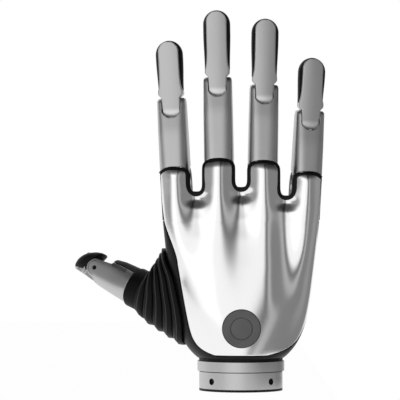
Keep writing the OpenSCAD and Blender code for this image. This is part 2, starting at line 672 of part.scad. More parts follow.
// Metal core of a fingertip: the tongue on the hinge, and the plate that shows on the back.
module tip_metal(length, w, base) difference() {
    union() {
        tip_core(length, w);
        rotate([90, 0, 0]) translate([0, 0, plate_in]) linear_extrude(plate_out - plate_in) circle(tongue_w / 2);
        across(fork_r, -tongue_w / 2, tongue_w / 2);
        block([-tongue_w / 2, -plate_in - 0.5, 0], [tongue_w / 2, 3.6, shoulder_z + 1]);
        intersection() {
            loft([[shoulder_z, collar_w / 2, plate_out, 4.4, 3],
                  [base - 0.05, collar_w / 2, plate_out, 5.6, 3]]);
            rotate([90, 0, 0]) linear_extrude(40, center = true)
                polygon([[-tongue_w / 2, shoulder_z], [tongue_w / 2, shoulder_z],
                         [collar_w / 2, shoulder_z + 2.2], [collar_w / 2, base + over],
                         [-collar_w / 2, base + over], [-collar_w / 2, shoulder_z + 2.2]]);
        }
    }
    across(pin_r + running, -20, 20);
    difference() {
        union() {
            across(cord_reach, cord_side, 20);
            block([cord_side, -cord_reach, -10], [20, cord_reach, 0]);
            block([cord_side, 0, -cord_reach], [20, 10, cord_reach]);
        }
        across(pulley_r, 0, 20);
    }
}
module tip_rubber(length, w, front, base, plate) difference() {
    loft(tip_body(length, w, 4.9, front, base), 24);
    tip_core(length, plate, 0.05);
}

module finger_tip(i) color("silver") at_finger(i) translate([0, 0, bone_len[i]]) tip_metal(tip_len[i], plate_w, collar_z);
module finger_pad(i) color("#1a1a1a") at_finger(i) translate([0, 0, bone_len[i]])
    tip_rubber(tip_len[i], tip_w, 6.2, collar_z, plate_w);

// ---- Button and electronics ----

module button_bezel() color("#3c3e42") difference() {
    translate([0, 0, button_z]) {
        deep(bezel_r, -bezel_face, -bezel_face + 1.9);
        deep(bezel_neck_r, -bezel_face + 1, -bezel_floor + 1.2);
    }
    translate([0, 0, button_z]) deep(button_r + running, -bezel_face - over, -bezel_floor);
}
module button_cap() color("#3c3e42") difference() {
    translate([0, 0, button_z]) deep(button_r, -bezel_face + 0.2, -bezel_floor - button_travel - 1);
    translate([0, 0, button_z]) deep(button_r - 1.4, -bezel_face + 1.6, 0);
}
module button_spring() {
    turns = 3;
    sides = 6;
    coil_r = 2.6;
    wire_r = 0.25;
    top = bezel_face - bezel_floor - 1.6 - 2 * wire_r - 0.1;
    steps = turns * 12;
    rows = [for (k = [0:steps]) let (a = 360 * turns * k / steps, z = wire_r + 0.05 + top * k / steps)
        [for (j = [0:sides - 1]) let (r = coil_r + wire_r * cos(60 * j))
            [r * cos(a), r * sin(a), z + wire_r * sin(60 * j)]]];
    function at(r, i) = r * sides + i % sides;
    color("silver") translate([0, -bezel_floor, button_z]) rotate([90, 0, 0])
    polyhedron([for (row = rows) for (p = row) p], concat(
        [[for (i = [sides - 1:-1:0]) i]],
        [for (r = [0:steps - 1]) for (i = [0:sides - 1]) each
            [[at(r, i), at(r, i + 1), at(r + 1, i + 1)], [at(r, i), at(r + 1, i + 1), at(r + 1, i)]]],
        [[for (i = [0:sides - 1]) at(steps, i)]]));
}
module circuit_board() color("#1f5c3a") {
    front = bezel_floor - 1.2;
    block([-14, -front + 1.4, 20.5], [14, -front + 3, 56]);
    block([-4, -front, button_z - 4], [4, -front + 1.4, button_z + 4]);
    block([-9, -front + 0.2, 42], [-1, -front + 1.4, 50]);
    block([3, -front + 0.4, 44], [9, -front + 1.4, 52]);
    both_sides() translate([11.5, 0, 53.5]) deep(1.6, -front + 3, frame_y);
    both_sides() translate([11.5, 0, 23]) deep(1.6, -front + 3, frame_y);
}

// ---- Thumb ----

module thumb_post() color("gray") translate([-post_x, post_y, 0])
    disc(post_r, thumb_low - 2.8, thumb_high + 2.8);

module thumb_turret() color("gray") difference() {
    union() {
        translate([-post_x, post_y, 0]) disc(7, thumb_low, thumb_high);
        difference() {
            at_thumb() {
                difference() {
                    translate([0, 0, -24]) linear_extrude(24)
                        translate([-tower_w / 2, -6.4]) square([tower_w, 12.8]);
                    ear_room();
                    block([-20, -20, -3], [20, 20, 20]);
                }
                both_sides() across(5.2, ear_out + clear, tower_w / 2);
                both_sides() block([ear_out + clear, -5.2, -10], [tower_w / 2, 5.2, 0]);
            }
            translate([-post_x, post_y, 0]) disc(6, 0, 80);
            block([-60, -40, 0], [-post_x + 12, 60, thumb_low]);
            block([-post_x + 0.5, -40, 0], [0, 60, 80]);
        }
    }
    translate([-post_x, post_y, 0]) disc(post_r + running, 0, 80);
    at_thumb() across(pin_r + nudge, -20, 20);
}
module thumb_wheel() color("goldenrod") at_thumb() drive_wheel();
module thumb_hinge_pin() color("gray") at_thumb() across(pin_r, -tower_w / 2, tower_w / 2);
module thumb_motor() at_thumb() drive_motor(11);
module thumb_worm() at_thumb() drive_worm();
module thumb_cords() at_thumb() drive_cords(thumb_len);
module thumb_tip_pin() color("gray") at_thumb()
    translate([0, 0, thumb_len]) across(pin_r, -fork_w / 2 + 0.2, fork_w / 2 - 0.2);

function thumb_body(inset, lo, hi) = [
    [lo, 9.9 - inset, 9.9 - inset, 9.9 - inset, 2.1],
    [sleeve_end + 0.5, 9.4 - inset, 9.2 - inset, 9.7 - inset, 2.2],
    [thumb_len - 12, 7.9 - inset, 8.4 - inset, 9.4 - inset, 2.6],
    [hi, fork_w / 2 - inset, 6.4 - inset, 6.6 - inset, 3.2]];

module thumb_frame() color("#161616") at_thumb() difference() {
    union() {
        intersection() {
            loft(thumb_body(1.5, thumb_root, thumb_len + fork_r + 1));
            along_x(20) fork_profile(thumb_len, 12, 12);
        }
        intersection() {
            loft(thumb_body(0, thumb_root + 1, thumb_len + fork_r + 1));
            block([-20, thumb_grip_y, sleeve_end + clear], [20, 20, thumb_len - 8]);
        }
        root_ears(skirt_z + 2);
    }
    translate([0, worm_y, 0]) disc(motor_r + 0.05, thumb_root - over, motor_z + 14.2);
    block([-3.6, worm_y, thumb_root - over], [3.6, 4.5, thumb_len - 5]);
    fork_room(thumb_len);
    across(pin_r + running, -20, 20);
}
module thumb_shell() color("silver") at_thumb() difference() {
    intersection() {
        loft(thumb_body(0, sleeve_end, thumb_len + fork_r + 1));
        along_x(20) fork_profile(thumb_len, 12, 12);
    }
    loft(thumb_body(1.35, sleeve_end - over, thumb_len + fork_r + 3));
    block([-20, thumb_grip_y - 0.1, 0], [20, 20, thumb_len - 7.9]);
    block([-20, -20, 0], [20, 20, sleeve_end + clear]);
    fork_room(thumb_len);
}
module thumb_sleeve() color("#1b1b1b") at_thumb() difference() {
    disc(sleeve_r, thumb_root, sleeve_end);
    loft(thumb_body(1.4, thumb_root - over, thumb_len), 28);
}
module thumb_tip() color("silver") at_thumb() translate([0, 0, thumb_len]) tip_metal(thumb_tip_len, thumb_plate_w, shoulder_z + 1);
module thumb_pad() color("#1a1a1a") at_thumb() translate([0, 0, thumb_len])
    tip_rubber(thumb_tip_len, 13.6, 7.3, shoulder_z + 1, thumb_plate_w);

// Bellows: rings that run from a base curve on the palm surface to the end of the sleeve.
// The base curve is a rounded rectangle in height and angle round the palm.
function bellows_base(a, lift, inset) = palm_point(46.5 + (23.5 - inset) * power(sin(a), 0.7),
    -113 - (57 - 1.6 * inset) * power(cos(a), 0.7), -lift);
function thumb_dir(v) = let (t = 90 - thumb_rise, p = 180 - thumb_yaw, r = thumb_roll,
        a = [v[0] * cos(r) - v[1] * sin(r), v[0] * sin(r) + v[1] * cos(r), v[2]],
        b = [a[0] * cos(t) + a[2] * sin(t), a[1], -a[0] * sin(t) + a[2] * cos(t)])
    [b[0] * cos(p) - b[1] * sin(p), b[0] * sin(p) + b[1] * cos(p), b[2]];
function bellows_end(a, r) = [-thumb_x, thumb_y, thumb_z]
    + thumb_dir([-r * cos(a), r * sin(a), thumb_root - 0.3]);
module thumb_bellows() {
    folds = 5;
    cols = 32;
    rings = folds * 4;
    mid_base = [-31, 4, 46.5];
    function ripple(u) = 0.8 * (1 - cos(360 * folds * u)) * min(1, 6 * (1 - u));
    function ring(u, inset) = [for (k = [0:cols - 1]) let (a = -360 * k / cols,
            m = mix(bellows_base(a, 0.8, inset), bellows_end(a, sleeve_r + 0.4 - inset), u),
            out = m - mix(mid_base, bellows_end(0, 0), u))
        m + out / norm(out) * ripple(u)];
    color("#1d1d1f") sheet([for (j = [0:rings]) ring(j / rings, 0)],
                           [for (j = [0:rings]) ring(j / rings, 1)], closed = true);
}

// ---- Assembly ----

wrist_ring();
wrist_gasket();
swivel_retainer();
contact_plate();
wrist_flange();
neck_seal();
palm_shell();
palm_frame();
back_cover();
palm_pad();
knuckle_bridge();
knuckle_pins();
worm_wheels();
circuit_board();
button_bezel();
button_cap();
button_spring();
thumb_post();
thumb_turret();
thumb_wheel();
thumb_hinge_pin();
thumb_bellows();
thumb_frame();
thumb_sleeve();
thumb_shell();
thumb_motor();
thumb_worm();
thumb_cords();
thumb_tip_pin();
thumb_tip();
thumb_pad();
for (i = [0:3]) {
    finger_phalanx(i);
    finger_motor(i);
    finger_worm(i);
    finger_cords(i);
    finger_tip_pin(i);
    finger_tip(i);
    finger_pad(i);
}
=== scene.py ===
import json
import math

import bpy
import numpy as np
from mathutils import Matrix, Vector


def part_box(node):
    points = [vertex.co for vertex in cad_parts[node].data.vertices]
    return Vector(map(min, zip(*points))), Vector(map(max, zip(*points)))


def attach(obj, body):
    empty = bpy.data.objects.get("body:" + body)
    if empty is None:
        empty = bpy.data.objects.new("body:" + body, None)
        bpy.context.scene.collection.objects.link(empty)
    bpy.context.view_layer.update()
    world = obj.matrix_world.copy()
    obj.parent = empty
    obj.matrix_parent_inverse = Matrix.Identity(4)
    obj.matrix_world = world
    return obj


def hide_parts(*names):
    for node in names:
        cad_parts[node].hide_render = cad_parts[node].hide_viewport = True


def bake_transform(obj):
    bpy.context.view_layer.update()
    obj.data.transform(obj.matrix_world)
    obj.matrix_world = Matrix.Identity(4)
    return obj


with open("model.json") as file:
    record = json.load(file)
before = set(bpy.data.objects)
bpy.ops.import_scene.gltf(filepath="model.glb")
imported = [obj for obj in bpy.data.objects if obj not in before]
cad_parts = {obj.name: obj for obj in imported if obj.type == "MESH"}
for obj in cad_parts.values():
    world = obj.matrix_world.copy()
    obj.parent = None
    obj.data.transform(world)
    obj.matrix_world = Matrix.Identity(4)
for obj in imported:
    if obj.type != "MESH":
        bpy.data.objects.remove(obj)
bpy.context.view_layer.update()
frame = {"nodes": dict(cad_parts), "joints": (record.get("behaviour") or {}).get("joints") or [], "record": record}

pi = math.pi
mm = 1000        # shapes are worked out in millimetres; the scene is in metres
print("frame loaded:", len(frame["nodes"]), "nodes")


def smooth(u):
    # cubic step from 0 to 1
    c = np.clip(u, 0, 1)
    return c * c * (3 - 2 * c)


def mix(a, b, u):
    # straight line from a to b
    return a + (b - a) * u


def boxOf(node):
    # lowest and highest corner of a CAD node, in millimetres
    return [np.array(corner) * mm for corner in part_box(node)]


def putMesh(name, verts, faceSets, material, crease=50):
    # vertices and lists of equal-sided faces go in as whole arrays, and a closed shape is turned to face
    # outward by its signed volume, the sum of a . (b x c) over its triangles
    verts = np.asarray(verts, float).reshape(-1, 3)
    faceSets = [np.asarray(f, int) for f in faceSets if len(f)]
    volume = 0.0
    for f in faceSets:
        for k in range(1, f.shape[1] - 1):
            normal = np.cross(verts[f[:, k]], verts[f[:, k + 1]])
            volume += np.einsum("ij,ij->i", verts[f[:, 0]], normal).sum()
    if volume < 0:
        faceSets = [f[:, ::-1] for f in faceSets]
    loops = np.concatenate([f.ravel() for f in faceSets])
    sizes = np.concatenate([np.full(len(f), f.shape[1]) for f in faceSets])
    mesh = bpy.data.meshes.new(name)
    mesh.vertices.add(len(verts))
    mesh.vertices.foreach_set("co", (verts / mm).ravel())
    mesh.loops.add(len(loops))
    mesh.loops.foreach_set("vertex_index", loops)
    mesh.polygons.add(len(sizes))
    mesh.polygons.foreach_set("loop_start", np.concatenate([[0], np.cumsum(sizes)[:-1]]))
    mesh.update(calc_edges=True)
    mesh.validate()
    mesh.polygons.foreach_set("use_smooth", np.ones(len(mesh.polygons), bool))
    mesh.set_sharp_from_angle(angle=math.radians(crease))
    mesh.materials.append(material)
    obj = bpy.data.objects.new(name, mesh)
    bpy.context.scene.collection.objects.link(obj)
    return obj


def paintHighlight(obj, values):
    # one number per vertex, the share of painted highlight, which the finish reads
    pale = obj.data.attributes.new("pale", "FLOAT", "POINT")
    pale.data.foreach_set("value", np.asarray(values, np.float32).ravel())


def gridNormals(p):
    # cross product of the two finite differences over a grid of points
    n = np.cross(np.gradient(p, axis=0), np.gradient(p, axis=1))
    return n / np.maximum(np.linalg.norm(n, axis=2, keepdims=True), 1e-9)


def thickSheet(outer, inner, around=False, keep=None):
    # two grids of points become a closed sheet; around joins its last column to the first, and cells left
    # out of keep are open, with a rim round them
    nu, nv = outer.shape[:2]
    cells = (nu - 1, nv if around else nv - 1)
    keep = np.ones(cells, bool) if keep is None else keep
    i, j = np.meshgrid(np.arange(cells[0]), np.arange(cells[1]), indexing="ij")

    def at(a, b):
        return a * nv + b % nv

    def beside(axis, step):
        other = np.roll(keep, -step, axis)
        if axis == 0 or not around:
            edge = [slice(None), slice(None)]
            edge[axis] = -1 if step > 0 else 0
            other[tuple(edge)] = False
        return other
    quads = np.stack([at(i, j), at(i + 1, j), at(i + 1, j + 1), at(i, j + 1)], axis=-1)
    total = nu * nv
    faces = [quads[keep], quads[keep][:, ::-1] + total]
    for a, b, axis, step in [(0, 1, 1, -1), (1, 2, 0, 1), (2, 3, 1, 1), (3, 0, 0, -1)]:
        rim = quads[keep & ~beside(axis, step)]
        faces.append(np.stack([rim[:, b], rim[:, a], rim[:, a] + total, rim[:, b] + total], axis=1))
    return np.concatenate([outer.reshape(-1, 3), inner.reshape(-1, 3)]), faces


def closedLoft(rows):
    # rings of points, one above another, closed by a fan of triangles at each end
    count, seg = rows.shape[:2]
    i, j = np.meshgrid(np.arange(count - 1), np.arange(seg), indexing="ij")
    j2 = (j + 1) % seg
    quads = np.stack([i * seg + j, i * seg + j2, (i + 1) * seg + j2, (i + 1) * seg + j], axis=-1)
    verts = np.concatenate([rows.reshape(-1, 3), rows[0].mean(0)[None], rows[-1].mean(0)[None]])
    a = np.arange(seg)
    b = (a + 1) % seg
    last = (count - 1) * seg
    low = np.stack([b, a, np.full(seg, count * seg)], axis=1)
    top = np.stack([last + a, last + b, np.full(seg, count * seg + 1)], axis=1)
    return verts, [quads.reshape(-1, 4), low, top]


def rolled(distance, radius):
    # how far a rounded edge drops at a given distance in from it
    d = np.minimum(np.maximum(distance, 0), radius)
    return radius - np.sqrt(radius ** 2 - (radius - d) ** 2)


def squarish(angle, n):
    # unit super-ellipse in polar form: |x|^n + |y|^n = 1, the angle running from the back over the right
    s, c = np.sin(angle), np.cos(angle)
    reach = (np.abs(s) ** n + np.abs(c) ** n) ** (-1 / n)
    return reach * s, -reach * c


def sectionRows(z, half, back, front, count, n):
    # super-ellipse rings across a digit, one for each length z, deeper or flatter towards back and front
    angle = np.linspace(0, 2 * pi, count, endpoint=False)
    x, y = squarish(angle[None], np.full((len(z), 1), n))
    depth = np.where(y < 0, back[:, None], front[:, None])
    return np.stack([half[:, None] * x, depth * y, np.repeat(z[:, None], count, 1)], axis=-1)


def distanceTo(points, line):
    # least distance from each point to a line's own points
    best = np.full(len(points), np.inf)
    for part in np.array_split(line, 8):
        best = np.minimum(best, np.sqrt(((points[:, None] - part[None]) ** 2).sum(2)).min(1))
    return best


def place(points, axes, origin):
    # from an own set of axes, given as rows, into the shared frame
    return points @ axes + origin


def lathe(name, profile, count, axes, origin, material):
    # a closed profile of (radius, height) pairs turned round the third axis
    profile = np.array(profile, float)
    angle = np.linspace(0, 2 * pi, count, endpoint=False)
    rings = np.stack([profile[:, :1] * np.cos(angle), profile[:, :1] * np.sin(angle),
                      np.repeat(profile[:, 1:], count, 1)], axis=-1)
    i, j = np.meshgrid(np.arange(len(profile)), np.arange(count), indexing="ij")
    i2, j2 = (i + 1) % len(profile), (j + 1) % count
    quads = np.stack([i * count + j, i * count + j2, i2 * count + j2, i2 * count + j], axis=-1)
    return putMesh(name, place(rings, axes, origin), [quads.reshape(-1, 4)], material, crease=40)


def addNode(tree, kind, sockets, **settings):
    # a shader node; each socket is given a link from another node's output, or a fixed value
    node = tree.nodes.new("ShaderNode" + kind)
    for key, value in settings.items():
        setattr(node, key, value)
    for socket, value in sockets.items():
        if isinstance(value, bpy.types.NodeSocket):
            tree.links.new(value, node.inputs[socket])
        else:
            node.inputs[socket].default_value = value
    return node


def newMaterial(name):
    mat = bpy.data.materials.new(name)
    mat.use_nodes = True
    return mat, mat.node_tree


# the finishes: fine grain drives the bump, a slow cloud the tone and the roughness
finishShape = {"noiseLow": 0.3, "noiseHigh": 0.7, "grainShare": 0.35, "grainDetail": 5, "cloudDetail": 3,
               "edgeLow": 0.52, "edgeHigh": 0.62, "edgeGain": 1.5, "edgeLift": 0.03, "coatRough": 0.3}


def finish(name, base, rough, metal, grain, cloud, spread, sheen=0.0, coat=0.0, lighterEdges=0.0, gloss=0.2,
           highlightTone=None):
    # grain is (features per metre, depth in mm), cloud is (features per metre, share of the tone), and spread
    # is the change of the roughness
    f = finishShape
    mat, tree = newMaterial(name)
    shader = tree.nodes["Principled BSDF"]
    fixed = {"Metallic": metal, "Coat Weight": coat, "Specular IOR Level": gloss,
             "Coat Roughness": f["coatRough"], "Sheen Weight": sheen}
    for socket, value in fixed.items():
        shader.inputs[socket].default_value = value
    where = addNode(tree, "TexCoord", {}).outputs["Object"]

    def noise(scale, detail):
        return addNode(tree, "TexNoise", {"Scale": scale, "Detail": detail, "Vector": where}).outputs["Fac"]

    def ranged(source, low, high):
        sockets = {"From Min": f["noiseLow"], "From Max": f["noiseHigh"], "To Min": low, "To Max": high}
        return addNode(tree, "MapRange", dict(sockets, Value=source)).outputs["Result"]

    def colourMix(a, b, factor):
        sockets = {"A": a, "B": b, "Factor": factor}
        return addNode(tree, "Mix", sockets, data_type="RGBA").outputs["Result"]

    def tinted(gain, lift=0.0):
        return [min(1, c * gain + lift) for c in base] + [1]
    slow = noise(cloud[0], f["cloudDetail"])
    fine = noise(grain[0], f["grainDetail"])
    share = f["grainShare"]
    sockets = {0: ranged(fine, 0, 1), 1: share, 2: ranged(slow, 0, 1 - share)}
    tone = addNode(tree, "Math", sockets, operation="MULTIPLY_ADD")
    colour = colourMix(tinted(1 - cloud[1]), tinted(1 + cloud[1]), tone.outputs[0])
    if lighterEdges:
        # lighter along its sharp edges
        sharpness = addNode(tree, "NewGeometry", {}).outputs["Pointiness"]
        sockets = {"From Min": f["edgeLow"], "From Max": f["edgeHigh"], "To Max": lighterEdges, "Value": sharpness}
        edge = addNode(tree, "MapRange", sockets)
        colour = colourMix(colour, tinted(f["edgeGain"], f["edgeLift"]), edge.outputs["Result"])
    if highlightTone:
        # painted highlight: paler where the piece's own attribute says so
        attribute = addNode(tree, "Attribute", {}, attribute_name="pale")
        colour = colourMix(colour, (highlightTone, highlightTone, highlightTone, 1), attribute.outputs["Fac"])
    bump = addNode(tree, "Bump", {"Strength": 1.0, "Distance": grain[1] / mm, "Height": fine})
    tree.links.new(colour, shader.inputs["Base Color"])
    tree.links.new(ranged(slow, rough - spread / 2, rough + spread / 2), shader.inputs["Roughness"])
    tree.links.new(bump.outputs["Normal"], shader.inputs["Normal"])
    return mat


# for each slot: name, colour, roughness, metal, grain, cloud, spread
finishes = {
    # satin aluminium and bellows rubber take a painted highlight, the given grey, where a piece marks it
    "satin_aluminium": finish("satinAluminium", (0.59, 0.59, 0.595), 0.38, 1.0, (2200, 0.012), (45, 0.05),
                              0.06, highlightTone=0.86),
    "polished_cover": finish("polishedCover", (0.93, 0.93, 0.935), 0.17, 1.0, (900, 0.0006), (30, 0.01),
                             0.04),
    "black_shell": finish("mattShell", (0.012, 0.012, 0.013), 0.42, 0, (1800, 0.02), (80, 0.2), 0.1,
                          lighterEdges=0.3),
    "thumb_plastic": finish("thumbPlastic", (0.014, 0.014, 0.015), 0.45, 0, (1800, 0.02), (80, 0.2), 0.1,
                            lighterEdges=0.3),
    "soft_pad": finish("softRubber", (0.009, 0.009, 0.0095), 0.55, 0, (2600, 0.03), (90, 0.25), 0.12,
                       sheen=0.05),
    "seal_rubber": finish("sealRubber", (0.008, 0.008, 0.0085), 0.5, 0, (2200, 0.02), (90, 0.2), 0.1),
    "bellows_rubber": finish("bellowsRubber", (0.006, 0.006, 0.0064), 0.5, 0, (2200, 0.02), (70, 0.25), 0.12,
                             gloss=0.14, highlightTone=0.14),
    "button_plastic": finish("buttonPlastic", (0.27, 0.271, 0.276), 0.5, 0, (2400, 0.012), (120, 0.1), 0.08),
    "steel": finish("groundSteel", (0.56, 0.56, 0.57), 0.3, 1.0, (2200, 0.008), (60, 0.08), 0.1),
    "brass": finish("machinedBrass", (0.72, 0.52, 0.22), 0.32, 1.0, (2000, 0.01), (80, 0.08), 0.1),
    "motor_metal": finish("motorCan", (0.58, 0.58, 0.59), 0.28, 1.0, (1500, 0.006), (90, 0.05), 0.1),
    "frame_metal": finish("machinedFrame", (0.5, 0.5, 0.51), 0.38, 1.0, (1600, 0.012), (60, 0.06), 0.1),
    "board": finish("solderMask", (0.01, 0.1, 0.045), 0.3, 0, (1200, 0.01), (150, 0.25), 0.1, coat=0.3),
    "contact": finish("mouldedContact", (0.03, 0.03, 0.034), 0.4, 0, (1800, 0.015), (90, 0.15), 0.1),
    "cord": finish("braidedCord", (0.5, 0.5, 0.47), 0.6, 0, (3500, 0.03), (200, 0.2), 0.1),
}
# painted shade: a flat grey for the thumb housing's recessed flat
gripGrey = finish("gripGrey", (0.13, 0.13, 0.132), 0.5, 0, (3200, 0.03), (200, 0.25), 0.1)
# dark joints, and painted shade inside holes and slots
boreDark = finish("boreDark", (0.004, 0.004, 0.004), 0.7, 0, (1500, 0.01), (90, 0.3), 0.1)
slotOf = {part["node"]: part["material_slot"] for part in frame["record"]["subparts"]}
for nodeName, obj in frame["nodes"].items():
    for slot in obj.material_slots:
        slot.material = finishes[slotOf[nodeName]]
    if not obj.material_slots:
        obj.data.materials.append(finishes[slotOf[nodeName]])
print("finishes set:", len(finishes))

joints = {j["name"]: j for j in frame["joints"]}


def jointPlace(name):
    return np.array(joints[name]["pos_m"]) * mm


def jointAxis(name):
    axis = np.array(joints[name]["axis"], float)
    return axis / np.linalg.norm(axis)


def digitFrame(name):
    # rows of axes: across to the right, towards the palm, and along to the tip
    across = -jointAxis(name + "_flex")
    along = jointAxis(name + "_worm_spin")
    return np.stack([across, np.cross(along, across), along])


fingerNames = ["index", "middle", "ring", "little"]
knuckle = {f: jointPlace(f + "_flex") for f in fingerNames}
shellZ = boxOf("palm_shell")[0][2]
bezelLow, bezelHigh = boxOf("button_bezel")
buttonZ = (bezelLow[2] + bezelHigh[2]) / 2

# one palm surface carries the cover, the shell and the grip; a pair of numbers such as "backRange" is the
# place where a change begins and the run that it takes
palm = {
    "neckHalfWidth": 21.5, "heelFlare": 10.8, "heelHeight": 9.5, "sideSlope": 0.1,
    "backTop": 14.3, "backNeck": 21.3, "backRange": (28, 72),
    "frontTop": 11.0, "frontNeck": 20.8, "frontHeight": 25.0,
    "roundNeck": 2.05, "roundMiddle": 0.95, "middleRun": 50, "roundTop": 3, "topRange": (55, 37),
    # depth of the waves between the lobes, by height
    "ridgeZ": [38, 50, 62, 76, 86, 92, 98, 104, 116],
    "ridge": [0, 0.2, 0.5, 1.0, 1.8, 2.6, 3.6, 4.2, 4.2], "waveEnd": 0.36,
    "lobeRise": 7.0, "lobeSpread": 1.04, "nose": 1.6, "noseRun": 4.4, "noseMost": 1.2,
    "valleyDrop": 13.2, "valleyHalfWidth": 2.7,
    # a dent under each valley: where it begins and ends below the valley, and how far across
    "dent": 1.5, "dentFrom": 8.4, "dentRun": 5.2, "dentEnd": 3.4, "dentFade": 4.6, "dentAcross": 4.9,
    "dentPower": 2.5,
    # deeper waves on the little finger's side, and a flute that carries them further down
    "rightWave": 1.1, "rightAcross": (4, 10), "rightTop": 92, "rightRun": 20,
    "flute": 1.2, "fluteAcross": (8, 10), "fluteFoot": (36, 14), "fluteHead": (68, 20),
}
lobeX = [knuckle[f][0] * palm["lobeSpread"] for f in fingerNames]
lobeZ = [knuckle[f][2] + palm["lobeRise"] for f in fingerNames]
valleyX = [(a + b) / 2 for a, b in zip(lobeX, lobeX[1:])]
valleyZ = [min(a, b) - palm["valleyDrop"] + abs(a - b) / 3 for a, b in zip(lobeZ, lobeZ[1:])]


def ease(value, startAndRun):
    # cubic step that begins at a place and takes a run
    return smooth((value - startAndRun[0]) / startAndRun[1])


def halfWidth(z):
    # flares from the neck by an exponential approach, on top of a straight slope
    up = z - shellZ
    flare = palm["heelFlare"] * (1 - np.exp(-up / palm["heelHeight"]))
    return palm["neckHalfWidth"] + flare + palm["sideSlope"] * up


def backDepth(z):
    # cubic step between the neck's depth and the knuckles'
    return mix(palm["backNeck"], palm["backTop"], ease(z, palm["backRange"]))


def frontDepth(z):
    # exponential decay from the neck's depth towards the knuckles'
    swell = np.exp(-(z - shellZ) / palm["frontHeight"])
    return mix(palm["frontTop"], palm["frontNeck"], swell)


def roundness(z):
    # exponent of the palm's super-ellipse: oval at the neck, boxy at the knuckles
    return palm["roundNeck"] + palm["roundMiddle"] * ease(z, (shellZ, palm["middleRun"])) \
        + palm["roundTop"] * ease(z, palm["topRange"])


def groove(x, z):
    # how far the back sinks: a cosine wave across the lobes, deepest in the valleys, that fades out down the
    # hand, plus a brow at each lobe's top and a bell-shaped dent under each valley
    p = palm
    turn = np.clip((x - lobeX[0]) / (lobeX[1] - lobeX[0]), -p["waveEnd"], 3 + p["waveEnd"])
    ripple = (1 - np.cos(2 * pi * turn)) / 2
    onRight = ease(x, p["rightAcross"]) * smooth((p["rightTop"] - z) / p["rightRun"])
    wave = np.interp(z, p["ridgeZ"], p["ridge"]) * ripple * (1 + p["rightWave"] * onRight)
    fluted = ease(x, p["fluteAcross"]) * ease(z, p["fluteFoot"]) * (1 - ease(z, p["fluteHead"]))
    flute = p["flute"] * fluted * ripple
    top = np.interp(x, lobeX, lobeZ)
    brow = p["nose"] * np.clip((z - top + p["noseRun"]) / p["noseRun"], 0, p["noseMost"]) ** 2
    dents = 0
    for vx, vz in zip(valleyX, valleyZ):
        foot, head = ease(z, (vz - p["dentFrom"], p["dentRun"])), ease(z, (vz - p["dentEnd"], p["dentFade"]))
        across = np.exp(-(np.abs(x - vx) / p["dentAcross"]) ** p["dentPower"])
        dents = dents + p["dent"] * foot * (1 - head) * across
    return wave + flute + brow + dents


def palmPoint(z, angle, inset=0.0):
    # super-ellipse round the palm at height z, the angle from the back over the little finger's side
    u, v = squarish(angle, roundness(z))
    x = (halfWidth(z) - inset) * u
    depth = np.where(v < 0, backDepth(z) - groove(x, z), frontDepth(z)) - inset
    return np.stack(np.broadcast_arrays(x, depth * v, z), axis=-1)


def backPoint(x, z):
    # the same surface, from a place across and a height
    n = roundness(z)
    u = np.clip(np.abs(x) / halfWidth(z), 0, 1)
    y = (groove(x, z) - backDepth(z)) * (1 - u ** n) ** (1 / n)
    return np.stack(np.broadcast_arrays(x, y, z), axis=-1)


def angleAt(z, x):
    # the angle round the palm at which the surface lies x across
    u = np.clip(x / halfWidth(z), -1, 1)
    n = roundness(z)
    return np.arctan2(u, (1 - np.abs(u) ** n) ** (1 / n))


cover = {
    "heelLift": 0.9, "thickness": 1.2, "edge": 0.22, "holeRadius": 8.2, "sideGap": 0.35,
    # side edges, as curves of the height over the heel
    "leftStart": 12.7, "leftCorner": 9.3, "leftCornerRun": 3.2, "leftSlope": 0.62, "leftPower": 0.72,
    "leftTop": (64, 26), "rightCorner": 10.3, "rightCornerRun": 2.6, "rightBow": 0.8, "rightBowRun": 12,
    "rightTop": (60, 24), "rightTuck": math.radians(14), "tuckOut": (30, 20), "tuckIn": (56, 28),
    # outline of the lobes, in steps, with its corners softened
    "step": 0.1, "arch": 1.2, "shoulder": 2.7, "shoulderPower": 4, "valleyArc": 2.45, "arcPoints": 80,
    "wallFoot": 2.7, "cornerBlur": 1.5, "edgeBlur": 1.2,
    # black strip along the outline, partly painted shade of the fingers' sides: its width over the lobes, in the
    # valleys and at the six walls between
    "liner": 1.75, "linerValley": 2.4, "linerWalls": [2.4, 1.4, 1.9, 1.9, 1.5, 2.5], "linerAcross": 3.6,
    "linerAbove": (2, 3), "linerTopFrom": 0.2, "linerTopRun": 0.7,
    # columns of the mesh: below the base line they run straight down to the heel
    "baseZ": 84.0, "wallShare": 0.26, "valleyShare": 0.9, "topShare": 0.14, "overrun": 0.5, "valleyReach": 5,
    "squareBlur": 16, "cornerRun": 3, "steepest": 1e-3, "bendRows": 30, "straightRows": 42,
    "straightPower": 1.25, "endColumns": [0, 2, 5, 10], "columnsFrom": 16, "columnStep": 4,
    "edgeRows": [0, 0.05, 0.14, 0.28, 0.48, 0.7, 0.95], "heelRows": [1.2, 0.8, 0.48, 0.28, 0.14, 0.05, 0],
}
coverZ = boxOf("back_cover")[0][2] + cover["heelLift"]


def coverLeft(z):
    # rounded heel corner by an exponential approach, then a power curve that eases over to the palm's side
    c = cover
    up = np.maximum(0, z - coverZ)
    corner = c["leftCorner"] * (1 - np.exp(-up / c["leftCornerRun"]))
    side = c["leftStart"] + corner + c["leftSlope"] * up ** c["leftPower"]
    return -mix(side, halfWidth(z) - c["sideGap"], ease(z, c["leftTop"]))


def coverRight(z):
    # the palm's side, less two exponentials at the heel and a gap that eases in
    c = cover
    up = np.maximum(0, z - coverZ)
    corner = c["rightCorner"] * np.exp(-up / c["rightCornerRun"])
    return halfWidth(z) - corner - c["rightBow"] * np.exp(-up / c["rightBowRun"]) \
        - c["sideGap"] * ease(z, c["rightTop"])


